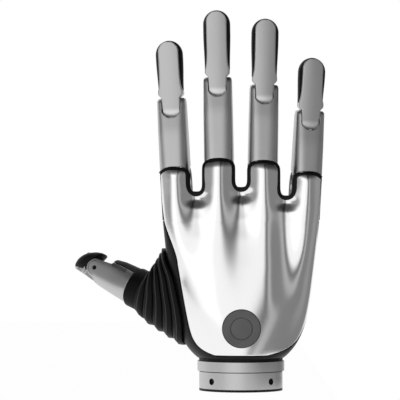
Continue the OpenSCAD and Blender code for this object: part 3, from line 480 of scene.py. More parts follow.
def leftAngle(z):
    # the cover's thumb-side edge as an angle round the palm
    return angleAt(z, coverLeft(z))


def rightAngle(z):
    # the other edge, plus a turn round the side that comes and goes with the height
    tuck = cover["rightTuck"] * ease(z, cover["tuckOut"]) * (1 - ease(z, cover["tuckIn"]))
    return angleAt(z, coverRight(z)) + tuck


def softened(line, blur):
    # each point becomes a bell-weighted mean of its neighbours; the ends stay where they are
    reach = int(3 * blur)
    kernel = np.exp(-0.5 * (np.arange(-reach, reach + 1) / blur) ** 2)
    kernel /= kernel.sum()
    padded = np.concatenate([line[0] + (line[0] - line[1:reach + 1][::-1]), line,
                             line[-1] + (line[-1] - line[-reach - 1:-1][::-1])])
    return np.stack([np.convolve(padded[:, k], kernel, "valid") for k in range(2)], axis=1)


def upright(x, z):
    # straight line of points up a wall
    return np.stack([np.full(len(z), x), z], axis=1)


def lobeOutline():
    # left side, over each lobe and round each valley to the right side, then the corners are softened
    c, radius, step = cover, palm["valleyHalfWidth"], cover["step"]
    pieces = []
    for i in range(4):
        left = -(halfWidth(lobeZ[0]) - c["sideGap"]) if i == 0 else valleyX[i - 1] + radius
        right = halfWidth(lobeZ[3]) - c["sideGap"] if i == 3 else valleyX[i] - radius
        x = np.arange(left, right, step)
        fromCentre = np.abs((2 * x - left - right) / (right - left))
        top = lobeZ[i] + c["arch"] - c["shoulder"] * fromCentre ** c["shoulderPower"]
        if i > 0:
            pieces.append(upright(left, np.arange(valleyZ[i - 1] + c["wallFoot"], top[0], step)))
        pieces.append(np.stack([x, top], axis=1))
        if i < 3:
            pieces.append(upright(right, np.arange(top[-1], valleyZ[i] + c["wallFoot"], -step)))
            a = np.linspace(pi, 2 * pi, c["arcPoints"])
            centre = np.array([valleyX[i], valleyZ[i] + c["valleyArc"]])
            pieces.append(centre + radius * np.stack([np.cos(a), np.sin(a)], axis=1))
    line = np.concatenate(pieces)
    arc = np.concatenate([[0], np.cumsum(np.linalg.norm(np.diff(line, axis=0), axis=1))])
    even = np.arange(0, arc[-1], step)
    line = np.stack([np.interp(even, arc, line[:, k]) for k in range(2)], axis=1)
    return softened(line, c["cornerBlur"] / step)


def inwardOf(line):
    # normal of a line that runs left to right, pointing down into the cover
    t = np.gradient(line, axis=0)
    t /= np.linalg.norm(t, axis=1, keepdims=True)
    return np.stack([t[:, 1], -t[:, 0]], axis=1)


def linerAndShadeWidths(outline, inward):
    # width of the black strip along the outline, wider where it also stands in as painted shade of the fingers'
    # sides: one over the lobes, one in the valleys, its own at each wall; a bell curve across each valley and
    # above it says how much a place is in one
    c, radius = cover, palm["valleyHalfWidth"]
    above, fade = c["linerAbove"]
    onTop = np.clip((inward[:, 1] + c["linerTopFrom"]) / -c["linerTopRun"], 0, 1)
    inValley = 0
    for x, z in zip(valleyX, valleyZ):
        over = np.maximum(0, outline[:, 1] - z - above) / fade
        inValley = inValley + np.exp(-((outline[:, 0] - x) / c["linerAcross"]) ** 2 - over ** 2)
    wallX = np.ravel([[v - radius, v + radius] for v in valleyX])
    atWall = np.interp(outline[:, 0], wallX, c["linerWalls"])
    return mix(mix(atWall, c["liner"], onTop), c["linerValley"], np.clip(inValley, 0, 1))


outline = lobeOutline()
inward = inwardOf(outline)
outlineArc = np.arange(len(outline)) * cover["step"]
fromEnds = np.minimum(outlineArc, outlineArc[::-1])
linerAndShadeWidth = linerAndShadeWidths(outline, inward)
polishedEdge = softened(outline + inward * linerAndShadeWidth[:, None], cover["edgeBlur"] / cover["step"])


def basePlaces(edge, level, overValley):
    # where each column meets the base line: between a lobe's centre and the valley beside it, in step with
    # the length of the edge, counted less along the walls and on the lobes' tops than in the valleys
    c = cover
    base = np.zeros(len(edge))
    marksX = [coverLeft(c["baseZ"])] + sorted(lobeX + valleyX) + [coverRight(c["baseZ"])]
    marksZ = np.ravel([lobeZ, valleyZ + [0]], "F")[:-1]
    near = [np.argmin(np.hypot(edge[:, 0] - x, edge[:, 1] - z)) for x, z in zip(marksX[1:-1], marksZ)]
    marks = [0] + near + [len(edge) - 1]
    share = c["wallShare"] + level * np.where(overValley, c["topShare"], c["valleyShare"])
    for k in range(len(marks) - 1):
        a, b = marks[k], marks[k + 1]
        step = np.linalg.norm(np.diff(edge[a:b + 1], axis=0), axis=1) * (share[a:b] + share[a + 1:b + 1])
        run = np.concatenate([[0], np.cumsum(step)])
        base[a:b + 1] = mix(marksX[k], marksX[k + 1], run / run[-1])
    return base


def coverGrid():
    # columns start square to the lobes' outline, bend to a base line and run on down to the heel
    c = cover
    ends, first, last = np.array(c["endColumns"]), c["columnsFrom"], len(polishedEdge) - 1
    pick = np.unique(np.concatenate([ends, np.arange(first, last - first + 1, c["columnStep"]), last - ends]))
    edge = polishedEdge[pick]
    down = np.array([[0.0, -1.0]])
    square = softened(inwardOf(polishedEdge), c["squareBlur"])[pick]
    normal = mix(np.repeat(down, len(pick), 0), square, smooth(fromEnds[pick] / c["cornerRun"])[:, None])
    normal /= np.linalg.norm(normal, axis=1, keepdims=True)
    level = np.abs(normal[:, 1])
    overValley = edge[:, 1] >= np.interp(edge[:, 0], valleyX, valleyZ) + c["valleyReach"]
    base = basePlaces(edge, level, overValley)
    baseLine = np.stack([base, np.full(len(base), c["baseZ"])], axis=1)
    insets = np.array(c["edgeRows"])
    rows = [edge + normal * d for d in insets]
    start = rows[-1]
    # each column is a quadratic curve from the edge over its bend to the base line
    aside = np.maximum(0, (base - start[:, 0]) * np.sign(normal[:, 0])) + c["overrun"] * level * overValley
    aside /= np.maximum(np.abs(normal[:, 0]), c["steepest"])
    below = 0.5 * (start[:, 1] - c["baseZ"])
    bend = start + normal * np.minimum(aside, below / np.maximum(level, c["steepest"]))[:, None]
    outside = (start[:, 0] < lobeX[0]) | (start[:, 0] > lobeX[3])
    bend = np.where(outside[:, None], start + down * below[:, None], bend)
    for t in np.linspace(0, 1, c["bendRows"] + 1)[1:]:
        rows.append(mix(mix(start, bend, t), mix(bend, baseLine, t), t))
    upper = np.stack(rows)
    upper = backPoint(upper[..., 0], upper[..., 1])
    share = angleAt(c["baseZ"], base)
    share = (share - share[0]) / (share[-1] - share[0])
    heel = np.array(c["heelRows"])
    z = coverZ + (c["baseZ"] - coverZ) * np.linspace(1, 0, c["straightRows"] + 2)[1:-1] ** c["straightPower"]
    z = np.concatenate([z[z > coverZ + heel[0] + c["step"]], coverZ + heel])
    angle = mix(leftAngle(z)[:, None], rightAngle(z)[:, None], share[None])
    grid = np.concatenate([upper, palmPoint(np.repeat(z[:, None], len(base), 1), angle)])
    # distance of each point to the cover's edge, for the rolled rim
    sides = np.minimum(*[np.linalg.norm(grid - grid[:, [k]], axis=2) for k in (0, -1)])
    away = np.where(np.arange(len(grid))[:, None] < len(insets), np.inf, sides)
    away[:len(insets)] = insets[:, None]
    away[-len(heel):] = np.minimum(away[-len(heel):], heel[:, None])
    return grid, away


def coverSkin():
    # the palm surface between the cover's edges, sunk by a quarter circle at its rim, with a hole for the
    # button
    c = cover
    grid, away = coverGrid()
    normals = gridNormals(grid)
    if normals[len(grid) // 2, grid.shape[1] // 2, 1] > 0:
        normals = -normals
    outer = grid - normals * rolled(away, c["edge"])[..., None]
    inner = grid - normals * c["thickness"]
    middle = (grid[:-1, :-1] + grid[1:, 1:]) / 2
    keep = np.hypot(middle[..., 0], middle[..., 2] - buttonZ) > c["holeRadius"]
    verts, faces = thickSheet(outer, inner, keep=keep)
    obj = putMesh("coverSkin", verts, faces, finishes["polished_cover"], crease=60)
    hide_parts("back_cover")
    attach(obj, "hand")


liner = {
    # rows by share of the strip's width, the last ones under the cover's edge
    "across": [0, 0.04, 0.12, 0.25, 0.5, 0.75, 1.0], "overlap": 0.45, "lip": 0.5, "sunk": 0.12,
    "tuck": 0.55, "tuckRange": (0.62, 0.3), "depth": 1.9, "every": 4,
}


def coverLiner():
    # black strip that fills between the lobes' outline and the polished edge, partly painted shade for the gap and
    # the fingers' shaded sides: the palm surface, sunk by a quarter circle at its lip and by a cubic step where it
    # passes under the cover
    s = liner
    pick = np.arange(0, len(outline), s["every"])
    across = np.array(s["across"])[:, None]
    width = across * (linerAndShadeWidth[pick] + s["overlap"])
    flat = outline[pick] + inward[pick] * width[..., None]
    sunk = rolled(width, s["lip"]) + s["sunk"] + s["tuck"] * ease(across, s["tuckRange"])
    top = backPoint(flat[..., 0], flat[..., 1])
    normals = gridNormals(top)
    normals *= np.where(normals[..., 1:2] > 0, -1, 1)
    verts, faces = thickSheet(top - normals * sunk[..., None], top - normals * s["depth"])
    obj = putMesh("coverLiner", verts, faces, finishes["seal_rubber"])
    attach(obj, "hand")


coverSkin()
coverLiner()
print("cover done")


shell = {
    "wall": 1.8, "seat": 1.5, "top": 85.0, "gap": math.radians(1.2), "edge": 0.5, "girth": 120,
    # rows by height over the shell's foot and over the cover's heel, then even ones to just below the top
    "footRows": [0, 0.1, 0.35], "heelRows": [-0.45, -0.3, 0, 0.3, 0.7, 1.2], "evenFrom": 2, "evenTo": 0.35,
    "evenRows": 56, "topRows": [0.1, 0], "coverFrom": 0.35,
    # columns by share of the seen part, and even ones in the seat hidden under the cover
    "fineColumns": [0, 0.0012, 0.004, 0.008], "evenColumnsFrom": 0.014, "seen": 120, "hidden": 40,
    # the thumb's window, as a range of x, of y and of z, and the hole behind the button
    "window": [(-99, -15), (-5, 21), (35, 55)], "holeRadius": 8.6,
}


def shellSkin():
    # full ring round the palm: the seen part lies at the palm surface, and a seat is sunk under the cover
    s = shell
    even = np.linspace(coverZ + s["evenFrom"], s["top"] - s["evenTo"], s["evenRows"])
    z = np.concatenate([shellZ + np.array(s["footRows"]), coverZ + np.array(s["heelRows"]), even,
                        s["top"] - np.array(s["topRows"])])
    right, left = rightAngle(z) + s["gap"], leftAngle(z) - s["gap"]
    fine, first = np.array(s["fineColumns"]), s["evenColumnsFrom"]
    seen = np.concatenate([fine, np.linspace(first, 1 - first, s["seen"]), 1 - fine[::-1]])
    over = mix(right[:, None], (left + 2 * pi)[:, None], seen[None])
    under = mix(left[:, None], right[:, None], np.linspace(0, 1, s["hidden"])[None]) + 2 * pi
    angle = np.concatenate([over, under], axis=1)
    atCover = (z > coverZ - s["coverFrom"])[:, None]
    rim = rolled(np.minimum(seen, 1 - seen) * s["girth"], s["edge"])
    sunk = np.where(atCover, np.concatenate([rim, np.full(s["hidden"], s["seat"])])[None], 0)
    sunk = sunk + rolled(np.minimum(z - shellZ, s["top"] - z), s["edge"])[:, None]
    zz = np.repeat(z[:, None], angle.shape[1], 1)
    outer = palmPoint(zz, angle, sunk)
    inner = palmPoint(zz, angle, sunk + s["wall"])
    middle = (outer[:-1] + outer[1:]) / 2
    low, high = np.array(s["window"]).T
    inWindow = np.all((middle > low) & (middle < high), axis=-1)
    fromButton = np.hypot(middle[..., 0], middle[..., 2] - buttonZ)
    inHole = (fromButton < s["holeRadius"]) & (middle[..., 1] < 0)
    verts, faces = thickSheet(outer, inner, around=True, keep=~(inWindow | inHole))
    obj = putMesh("shellSkin", verts, faces, finishes["black_shell"], crease=40)
    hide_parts("palm_shell")
    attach(obj, "hand")


shellSkin()
print("shell done")


finger = {
    # sizes at the skirt, below the fork and at the ears' tips
    "skirt": 8.0, "forkBelow": 12, "earAbove": 5.6, "squareness": [3.8, 4.2, 4.6],
    "halfWidth": [7.3, 7.2, 7.0], "back": [9.6, 8.6, 5.6], "backBlur": 2.4, "front": [8.2, 7.4, 6.6],
    "proud": 0.15, "wall": 0.6, "rows": 40,
    # the fork: two ears round the hinge, a round notch for the tongue behind, an open front
    "notch": 5.0, "notchLift": 0.08, "earRadius": 4.6, "earLift": 0.4, "flushDepth": 7, "flushPower": 4,
    "frontNotch": 5.2, "frontStep": ([4.6, 4.75, 8.2], [0, -7, -12]), "slot": 0.012, "earInside": 4.88,
    "insideFrom": 4, "columns": (22, 22, 22, 18),
    # the skirt hangs lower at its two back corners, over the lobe's shoulders
    "skirtLift": 0.02, "hang": 2.3, "hangFrom": 0.1, "hangRun": 0.5, "hangPower": 4, "edge": 0.22,
    "earRoll": 1.5, "earRollRun": 2.4,
}
column = {"fineRows": np.array([0, 0.05, 0.12, 0.24]), "evenFrom": 0.5}    # close rows at a rolled edge


def softProfile(z, heights, values, reach):
    # the mean of five nearby places rounds off the corners of the profile
    return sum(np.interp(z + step * reach, heights, values) for step in [-1, -0.5, 0, 0.5, 1]) / 5


def towards(place, goalAt, steps=40, part=0.3):
    # follows a goal that depends on the place itself, a part of the way at each step
    for _ in range(steps):
        place = mix(place, goalAt(place), part)
    return place


def offAxis(angle):
    # how far an angle is from the back or the front
    return np.abs(((angle + pi / 2) % pi) - pi / 2)


def columnRows(foot, top, count):
    # heights of a column's points: close at both ends, even between
    fine, inset = column["fineRows"][:, None], column["evenFrom"]
    even = mix(foot + inset, top - inset, np.linspace(0, 1, count)[:, None])
    return np.concatenate([foot + fine, even, top - fine[::-1]])


def phalanxSkin(name):
    # super-ellipse sections that taper to the fork; each column ends where the fork's side view ends
    f = finger
    axes, origin = digitFrame(name), knuckle[name]
    length = np.linalg.norm(jointPlace(name + "_tip_flex") - origin)
    heights = [f["skirt"], length - f["forkBelow"], length + f["earAbove"]]

    def section(z, angle, grow):
        x, y = squarish(angle, np.interp(z, heights, f["squareness"]))
        half = np.interp(z, heights, f["halfWidth"]) + grow
        back = softProfile(z, heights, f["back"], f["backBlur"]) + grow
        front = np.interp(z, heights, f["front"]) + grow
        return np.stack([half * x, np.where(y < 0, back, front) * y, z], axis=-1)

    near = math.atan(f["notch"] / (f["halfWidth"][2] + f["proud"]))
    slot, counts = f["slot"], f["columns"]
    runs = [(0, near - slot), (near + slot, pi / 2), (pi / 2, pi - near - slot), (pi - near + slot, pi)]
    half = np.concatenate([np.linspace(a, b, count) for (a, b), count in zip(runs, counts)])
    half = np.delete(half, counts[0] + counts[1] - 1)
    angle = np.concatenate([half, 2 * pi - half[1:-1][::-1]])

    def forkTop(top):
        p = section(top, angle, 0)
        x, y = np.abs(p[:, 0]), p[:, 1]
        ear = np.sqrt(np.maximum(0, f["earRadius"] ** 2 - y ** 2))
        power = f["flushPower"]
        flush = f["earRadius"] * np.maximum(0, 1 - (np.abs(y) / f["flushDepth"]) ** power) ** (1 / power)
        ear = length + f["earLift"] + np.where(y < 0, flush, ear)
        ear = np.where(y > f["frontStep"][0][0], length + np.interp(y, *f["frontStep"]), ear)
        back = f["notchLift"] - np.sqrt(np.maximum(0, f["notch"] ** 2 - np.minimum(x, f["notch"]) ** 2))
        between = length + np.where(y < 0, back, -f["frontNotch"])
        return np.where(offAxis(angle) < near, between, ear)
    top = towards(np.full(angle.shape, length), forkTop)
    across, depth = squarish(angle, f["squareness"][0])
    corner = across ** f["hangPower"] * smooth((f["hangFrom"] - depth) / f["hangRun"])
    foot = f["skirt"] + f["skirtLift"] - f["hang"] * corner
    z = columnRows(foot, top, f["rows"])
    wide = np.repeat(angle[None], len(z), 0)
    ears = offAxis(wide) > near
    roll = np.where(ears & (top - z < f["earRollRun"]), f["earRoll"], f["edge"])
    outer = section(z, wide, f["proud"] - rolled(np.minimum(z - foot, top - z), roll))
    inner = section(z, wide, -f["wall"])
    # the ears' inner sides stay clear of the tongue
    clear = np.clip(inner[..., 0], -f["earInside"], f["earInside"])
    inner[..., 0] = np.where(ears & (z > length - f["insideFrom"]), clear, inner[..., 0])
    verts, faces = thickSheet(place(outer, axes, origin), place(inner, axes, origin), around=True)
    obj = putMesh(name + "Skin", verts, faces, finishes["satin_aluminium"])
    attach(obj, name)


cheek = {"from": 4.7, "to": 4.95, "radius": 4.45, "foot": 4.4, "lift": 0.2, "arcPoints": 14,
         "front": [(-6.0, -4.4), (-6.0, 2.6), (-5.4, 3.9), (-4.4, 4.5)]}


def forkShade(name):
    # painted shade on the inner cheeks of the two ears, standing in for the shade in the slot beside the
    # tongue: a dark flat side view, given a small thickness
    c = cheek
    axes, hinge = digitFrame(name), jointPlace(name + "_tip_flex")
    a = np.linspace(pi / 2, pi, c["arcPoints"])
    arc = np.stack([-c["radius"] * np.cos(a), c["radius"] * np.sin(a) + c["lift"]], axis=1)
    side = np.concatenate([c["front"], arc, [[c["radius"], -c["foot"]]]])
    for tag, s in [("Left", -1), ("Right", 1)]:
        rows = [np.concatenate([np.full((len(side), 1), s * c[x]), side], axis=1) for x in ["from", "to"]]
        verts, faces = closedLoft(place(np.stack(rows), axes, hinge))
        obj = putMesh(name + "Fork" + tag, verts, faces, boreDark, crease=30)
        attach(obj, name)


tipShape = {
    # the back plate: a round tongue at the hinge, a collar, and a plate with a round end; a painted highlight
    # lightens the tongue's lower end
    "tongue": 4.6, "collar": 6.2, "collarStart": 4.8, "collarFrom": 7.0, "collarTo": 8.6, "collarFade": 2.6,
    "plate": 5.1, "plateInset": 0.65, "plateThick": 2.4, "face": 5.5, "faceLine": ([0, 1], [5.5, 5.5]),
    "tongueCurl": 0.045, "crown": 0.012, "edge": 0.4, "tonguePale": 1.0, "paleFrom": 0.4, "paleRun": 2.8,
    "plateRows": (14, 44, 16), "plateFrom": 0.4, "plateTo": 0.5, "plateColumns": 25, "edgeFrom": -1,
    # the rubber pad behind it
    "padHalf": (6.3, 6.8), "padBack": 5.15, "padFront": 6.2, "padSwell": 0.62, "padSquare": 2.5,
    "padEdge": 0.3, "padFlat": 0.7, "padPower": 0.8, "padSwellLeast": 6, "padBackSwell": 0.1,
    "padDome": 0.4, "padFineRows": [0, 0.03, 0.12, 0.3], "padFrom": 0.6, "padTo": 0.3, "padRows": (26, 22),
    "padStop": 0.004, "padSunk": 0.02, "padAround": 96,
    # the metal core between them
    "palmFace": 4.6, "coreSquare": 6.0, "coreAbove": 3, "coreInset": 0.05, "coreCurl": 0.93, "coreBack": 0.15,
    "coreFront": 1.0, "coreSwell": (3, 5), "coreRows": (14, 6, 8, 8), "coreFrom": 0.5, "coreStep": 0.2,
    "corePast": 0.3, "coreAround": 72,
}


almost = 0.9995     # a round end stops short of its pole


def collarWidth(z, s):
    # from the tongue's half width to the collar's
    return mix(s["tongue"], s["collar"], ease(z, (s["collarStart"], s["collarFrom"] - s["collarStart"])))


def tipPlate(name, body, origin, axes, length, shape):
    # flat plate whose half width follows the length; below the hinge it rolls round the pivot, and there a painted
    # highlight lightens the tongue's lower end
    s = shape
    end = length - s["plateInset"] - s["plate"]
    low, middle, high = s["plateRows"]
    z = np.concatenate([np.sin(np.linspace(-pi / 2, 0, low)) * s["tongue"] * almost,
                        np.linspace(s["plateFrom"], end - s["plateTo"], middle),
                        np.sin(np.linspace(0, pi / 2, high)) * s["plate"] * almost + end])

    def circle(radius, over):
        return np.sqrt(np.maximum(0.02, radius ** 2 - over ** 2))
    half = np.where(z < 0, circle(s["tongue"], z), s["tongue"])
    half = np.where(z > s["collarStart"], collarWidth(z, s), half)
    fade = np.exp(-np.maximum(0, z - s["collarTo"]) / s["collarFade"])
    half = np.where(z > s["collarTo"], mix(s["plate"], s["collar"], fade), half)
    half = np.where(z < end, half, np.minimum(half, circle(s["plate"], z - end)))
    u = np.sin(np.linspace(-pi / 2, pi / 2, s["plateColumns"]))
    x = half[:, None] * u[None]
    zz = np.repeat(z[:, None], len(u), 1)
    y = -np.interp(zz, *s["faceLine"]) + s["tongueCurl"] * np.minimum(0, zz) ** 2 + s["crown"] * x ** 2
    rim = np.concatenate([np.stack([half, z], 1), np.stack([-half, z], 1)])
    away = distanceTo(np.stack([x.ravel(), zz.ravel()], 1), rim).reshape(x.shape)
    away = np.minimum(away, np.abs(half[:, None] - np.abs(x)))
    outer = np.stack([x, y + rolled(away, s["edge"]) * (zz > s["edgeFrom"]), zz], axis=-1)
    inner = np.stack([x, np.full(x.shape, s["plateThick"] - s["face"]), zz], axis=-1)
    verts, faces = thickSheet(place(outer, axes, origin), place(inner, axes, origin))
    obj = putMesh(name + "Plate", verts, faces, finishes["satin_aluminium"])
    # painted highlight: the tongue's lower end is paler, as if it caught light from below
    pale = s["tonguePale"] * smooth((s["paleFrom"] - zz) / s["paleRun"])
    paintHighlight(obj, np.concatenate([pale.ravel(), np.zeros(zz.size)]))
    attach(obj, body)


def tipPad(name, body, origin, axes, length, shape, node):
    # super-ellipse sections that swell towards the tip and close in a dome
    s = shape
    base, (low, high) = s["collarTo"], s["padHalf"]
    dome = high + s["padDome"]
    even, curved = s["padRows"]
    z = np.concatenate([base + np.array(s["padFineRows"]),
                        np.linspace(base + s["padFrom"], length - dome - s["padTo"], even),
                        length - dome + dome * np.sin(np.linspace(0, pi / 2, curved))[:-1],
                        [length - s["padStop"]]])
    bulge = smooth((z - base) / max(s["padSwellLeast"], s["padSwell"] * (length - base)))
    cap = np.sqrt(np.maximum(0, 1 - (np.maximum(0, z - (length - dome)) / dome) ** 2))
    roll = rolled(z - base, s["padEdge"])
    half = (mix(low, high, bulge) - roll) * cap
    back = (s["padBack"] + s["padBackSwell"] * bulge - roll) * cap ** s["padPower"]
    front = (mix(s["padFront"] - s["padFlat"], s["padFront"], bulge) - roll) * cap ** s["padPower"]
    rows = sectionRows(z, half, back, front, s["padAround"], s["padSquare"])
    verts, faces = closedLoft(place(rows, axes, origin))
    obj = putMesh(name + "Pad", verts, faces, finishes["soft_pad"])
    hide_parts(node)
    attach(obj, body)


def tipCore(name, body, origin, axes, base, shape, node):
    # tongue round the hinge and the collar above it, one flat-sided loft
    s = shape
    count = s["coreRows"]
    z = np.concatenate([-s["tongue"] * np.cos(np.linspace(0, pi / 2, count[0])),
                        np.linspace(s["coreFrom"], s["collarStart"] - s["coreStep"], count[1]),
                        np.linspace(s["collarStart"], s["collarFrom"], count[2]),
                        np.linspace(s["collarFrom"] + s["corePast"], base + s["coreAbove"], count[3])])
    curve = np.sqrt(np.maximum(0.01, 1 - np.minimum(0, z / s["tongue"]) ** 2))
    half = np.where(z > base + s["corePast"], s["plate"], collarWidth(z, s) - s["coreInset"])
    back = np.where(z < 0, s["face"] * s["coreCurl"] * curve, s["face"] - s["coreBack"])
    front = mix(s["palmFace"], s["padFront"] - s["coreFront"], ease(z, s["coreSwell"])) * curve
    rows = sectionRows(z, half, back, front, s["coreAround"], s["coreSquare"])
    verts, faces = closedLoft(place(rows, axes, origin))
    obj = putMesh(name + "Core", verts, faces, finishes["satin_aluminium"], crease=40)
    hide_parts(node)
    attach(obj, body)


for name in fingerNames:
    axes, hinge = digitFrame(name), jointPlace(name + "_tip_flex")
    length = (boxOf(name + "_pad")[1][2] - hinge[2]) / axes[2][2] - tipShape["padSunk"]
    phalanxSkin(name)
    forkShade(name)
    tipPlate(name, name + "_tip", hinge, axes, length, tipShape)
    tipPad(name, name + "_tip", hinge, axes, length, tipShape, name + "_pad")
    tipCore(name, name + "_tip", hinge, axes, tipShape["collarTo"], tipShape, name + "_tip")
print("fingers done")


thumbAxes = digitFrame("thumb")
thumbRoot = jointPlace("thumb_flex")
thumbHinge = jointPlace("thumb_tip_flex")
thumb = {
    "root": 8.0, "length": np.linalg.norm(thumbHinge - thumbRoot), "tip": 14.0,
    "sleeveEnd": 14.7, "sleeveRadius": 10.3, "sleeveEdge": 0.6, "sleeveWall": 2.0, "sleeveLip": (0.4, 0.3),
    "sleeveArc": 7, "sleeveAround": 96,
    # sizes at the root, above the sleeve, below the hinge and at the ears' tips
    "squareness": [2.1, 2.2, 2.6, 3.2], "half": [9.9, 9.4, 7.9, 7.0], "back": [9.9, 9.2, 8.4, 6.4],
    "front": [9.9, 9.7, 9.4, 6.6], "fromSleeve": 0.5, "blur": 3, "proud": 0.15, "wall": 0.6, "edge": 0.22,
    "rows": 44,
    # the fork at the tip, and the open palm side
    "forkBelow": 12, "earAbove": 5.6, "notch": 5.0, "earRadius": 4.6, "slot": 0.012,
    "openFrom": pi - 0.86, "openEdge": 9, "openColumns": [0.018, 0.008, 0], "evenTo": 0.03,
    "columns": (18, 48), "overSleeve": 0.3,
    "backStep": ([4.6, 5.4, 13.0], [0, -2, -7]), "frontStep": ([4.6, 4.75, 11.0], [0, -7, -12]),
}


def thumbSizes(z, grow):
    # the super-ellipse's exponent, half width and depth of back and front, at a length along the thumb
    t = thumb
    heights = [t["root"], t["sleeveEnd"] + t["fromSleeve"], t["length"] - t["forkBelow"],
               t["length"] + t["earAbove"]]
    sizes = [softProfile(z, heights, t[side], t["blur"]) + grow for side in ["half", "back", "front"]]
    return [np.interp(z, heights, t["squareness"])] + sizes


def thumbSection(z, angle, grow):
    # super-ellipse across the thumb at height z, its sizes read from the tables and grown alike all round
    n, half, back, front = thumbSizes(z, grow)
    x, y = squarish(angle, n)
    return np.stack([half * x, np.where(y < 0, back, front) * y, z], axis=-1)


def thumbShell():
    # silver back and sides of the thumb, open on the palm side, ending in two round ears
    t = thumb
    length, slot, edgeAngle = t["length"], t["slot"], t["openFrom"]
    near = math.atan(t["notch"] / (t["half"][3] + t["proud"]))
    onBack, onSide = t["columns"]
    half = np.concatenate([np.linspace(0, near - slot, onBack),
                           np.linspace(near + slot, edgeAngle - t["evenTo"], onSide),
                           edgeAngle - np.array(t["openColumns"])])
    angle = np.concatenate([-half[::-1], half[1:]])

    def forkTop(top):
        p = thumbSection(top, angle, 0)
        x, y = np.abs(p[:, 0]), p[:, 1]
        ear = length + np.sqrt(np.maximum(0, t["earRadius"] ** 2 - y ** 2))
        for side, step in [(-1, t["backStep"]), (1, t["frontStep"])]:
            ear = np.where(side * y > step[0][0], length + np.interp(side * y, *step), ear)
        back = length - np.sqrt(np.maximum(0, t["notch"] ** 2 - np.minimum(x, t["notch"]) ** 2))
        return np.where(np.abs(angle) < near, back, ear)
    top = towards(np.full(angle.shape, length), forkTop)
    foot = np.full(angle.shape, t["sleeveEnd"] + t["overSleeve"])
    z = columnRows(foot, top, t["rows"])
    away = np.minimum(np.minimum(z - foot, top - z), (edgeAngle - np.abs(angle))[None] * t["openEdge"])
    wide = np.repeat(angle[None], len(z), 0)
    outer = thumbSection(z, wide, t["proud"] - rolled(away, t["edge"]))
    inner = thumbSection(z, wide, -t["wall"])
    verts, faces = thickSheet(place(outer, thumbAxes, thumbRoot), place(inner, thumbAxes, thumbRoot))
    obj = putMesh("thumbShellSkin", verts, faces, finishes["satin_aluminium"])
    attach(obj, "thumb")


thumbTip = {
    "halfLow": 6.3, "halfHigh": 6.8, "swell": (2, 6), "back": 4.55, "backEnd": 3.0, "backRange": (12.8, 1.2),
    "dome": 7.2, "roll": 0.3, "baseDepth": 8.1, "squareness": 2.5, "around": 120, "rows": 44,
    "fineRows": [0, 0.002, 0.008, 0.02], "evenFrom": 0.04,
    # depth of the palm side along the tip, and where the pad begins at each depth, clear of the hinge's ear
    "front": ([-0.8, 3, 5.5, 9, 11, 12.4, 13.4, 13.98], [8.0, 8.1, 7.4, 5.5, 3.6, 1.7, -0.6, -3.0]),
    "base": ([-4.9, -0.9, 2.6, 6.2, 7.1, 8.1], [4.8, 5.4, 5.0, 2.6, 1.8, 1.2]),
}


def thumbPad():
    # super-ellipse sections whose palm side falls away to the tip; the base follows the hinge's round ear
    t, length = thumbTip, thumb["tip"]
    u, v = squarish(np.linspace(0, 2 * pi, t["around"], endpoint=False), t["squareness"])
    depth, back = t["baseDepth"], t["back"]
    base = np.interp((depth - back) / 2 + (depth + back) / 2 * v, *t["base"])
    first = t["evenFrom"]
    curved = first + (1 - first) * np.sin(np.linspace(0, pi / 2, t["rows"]))[:-1]
    run = np.concatenate([t["fineRows"], curved, [almost]])
    z = base + (length - base) * run[:, None]
    cap = np.sqrt(np.maximum(0, 1 - (np.maximum(0, z - (length - t["dome"])) / t["dome"]) ** 2))
    roll = rolled(z - base, t["roll"])
    half = (mix(t["halfLow"], t["halfHigh"], ease(z, t["swell"])) - roll) * cap
    front = np.interp(z, *t["front"])
    start, fall = t["backRange"]
    back = mix(back, t["backEnd"], np.clip((z - start) / fall, 0, 1) ** 2)
    middle, deep = (front - back) / 2, np.maximum(0.02, (front + back) / 2) - roll
    rows = np.stack([half * u, middle + deep * v, z], axis=-1)
    verts, faces = closedLoft(place(rows, thumbAxes, thumbHinge))
    obj = putMesh("thumbPad", verts, faces, finishes["soft_pad"])
    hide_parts("thumb_pad")
    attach(obj, "thumb_tip")


thumbMarks = {
    "lift": 0.03, "sink": 0.25, "holeRings": [0.05, 0.7, 1.15],
    "earLine": (3.55, 3.72), "earFrom": math.radians(-105), "earTo": math.radians(75),
    # a grey patch of painted shade for the housing's recessed flat: depth, length and lift
    "gripDepth": (4.5, 6.45), "gripLength": (-17.5, -8.2), "gripLift": 0.05,
    "holePoints": 41, "earPoints": 60, "gripPoints": (12, 40),
}


def sidePatch(name, side, y, along, lift, material):
    # a thin patch on the side of the thumb, from grids of depth and length; solving the super-ellipse for the
    # width gives half * (1 - |y / deep|^n)^(1 / n)
    z = thumb["length"] + along
    n, half, back, front = thumbSizes(z, thumb["proud"])
    deep = np.where(y < 0, back, front)
    x = half * (1 - np.clip(np.abs(y) / deep, 0, 0.999) ** n) ** (1 / n)
    sheets = [place(np.stack([side * (x + out), y, z], axis=-1), thumbAxes, thumbRoot)
              for out in [lift, -thumbMarks["sink"]]]
    verts, faces = thickSheet(*sheets)
    obj = putMesh(name, verts, faces, material)
    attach(obj, "thumb")


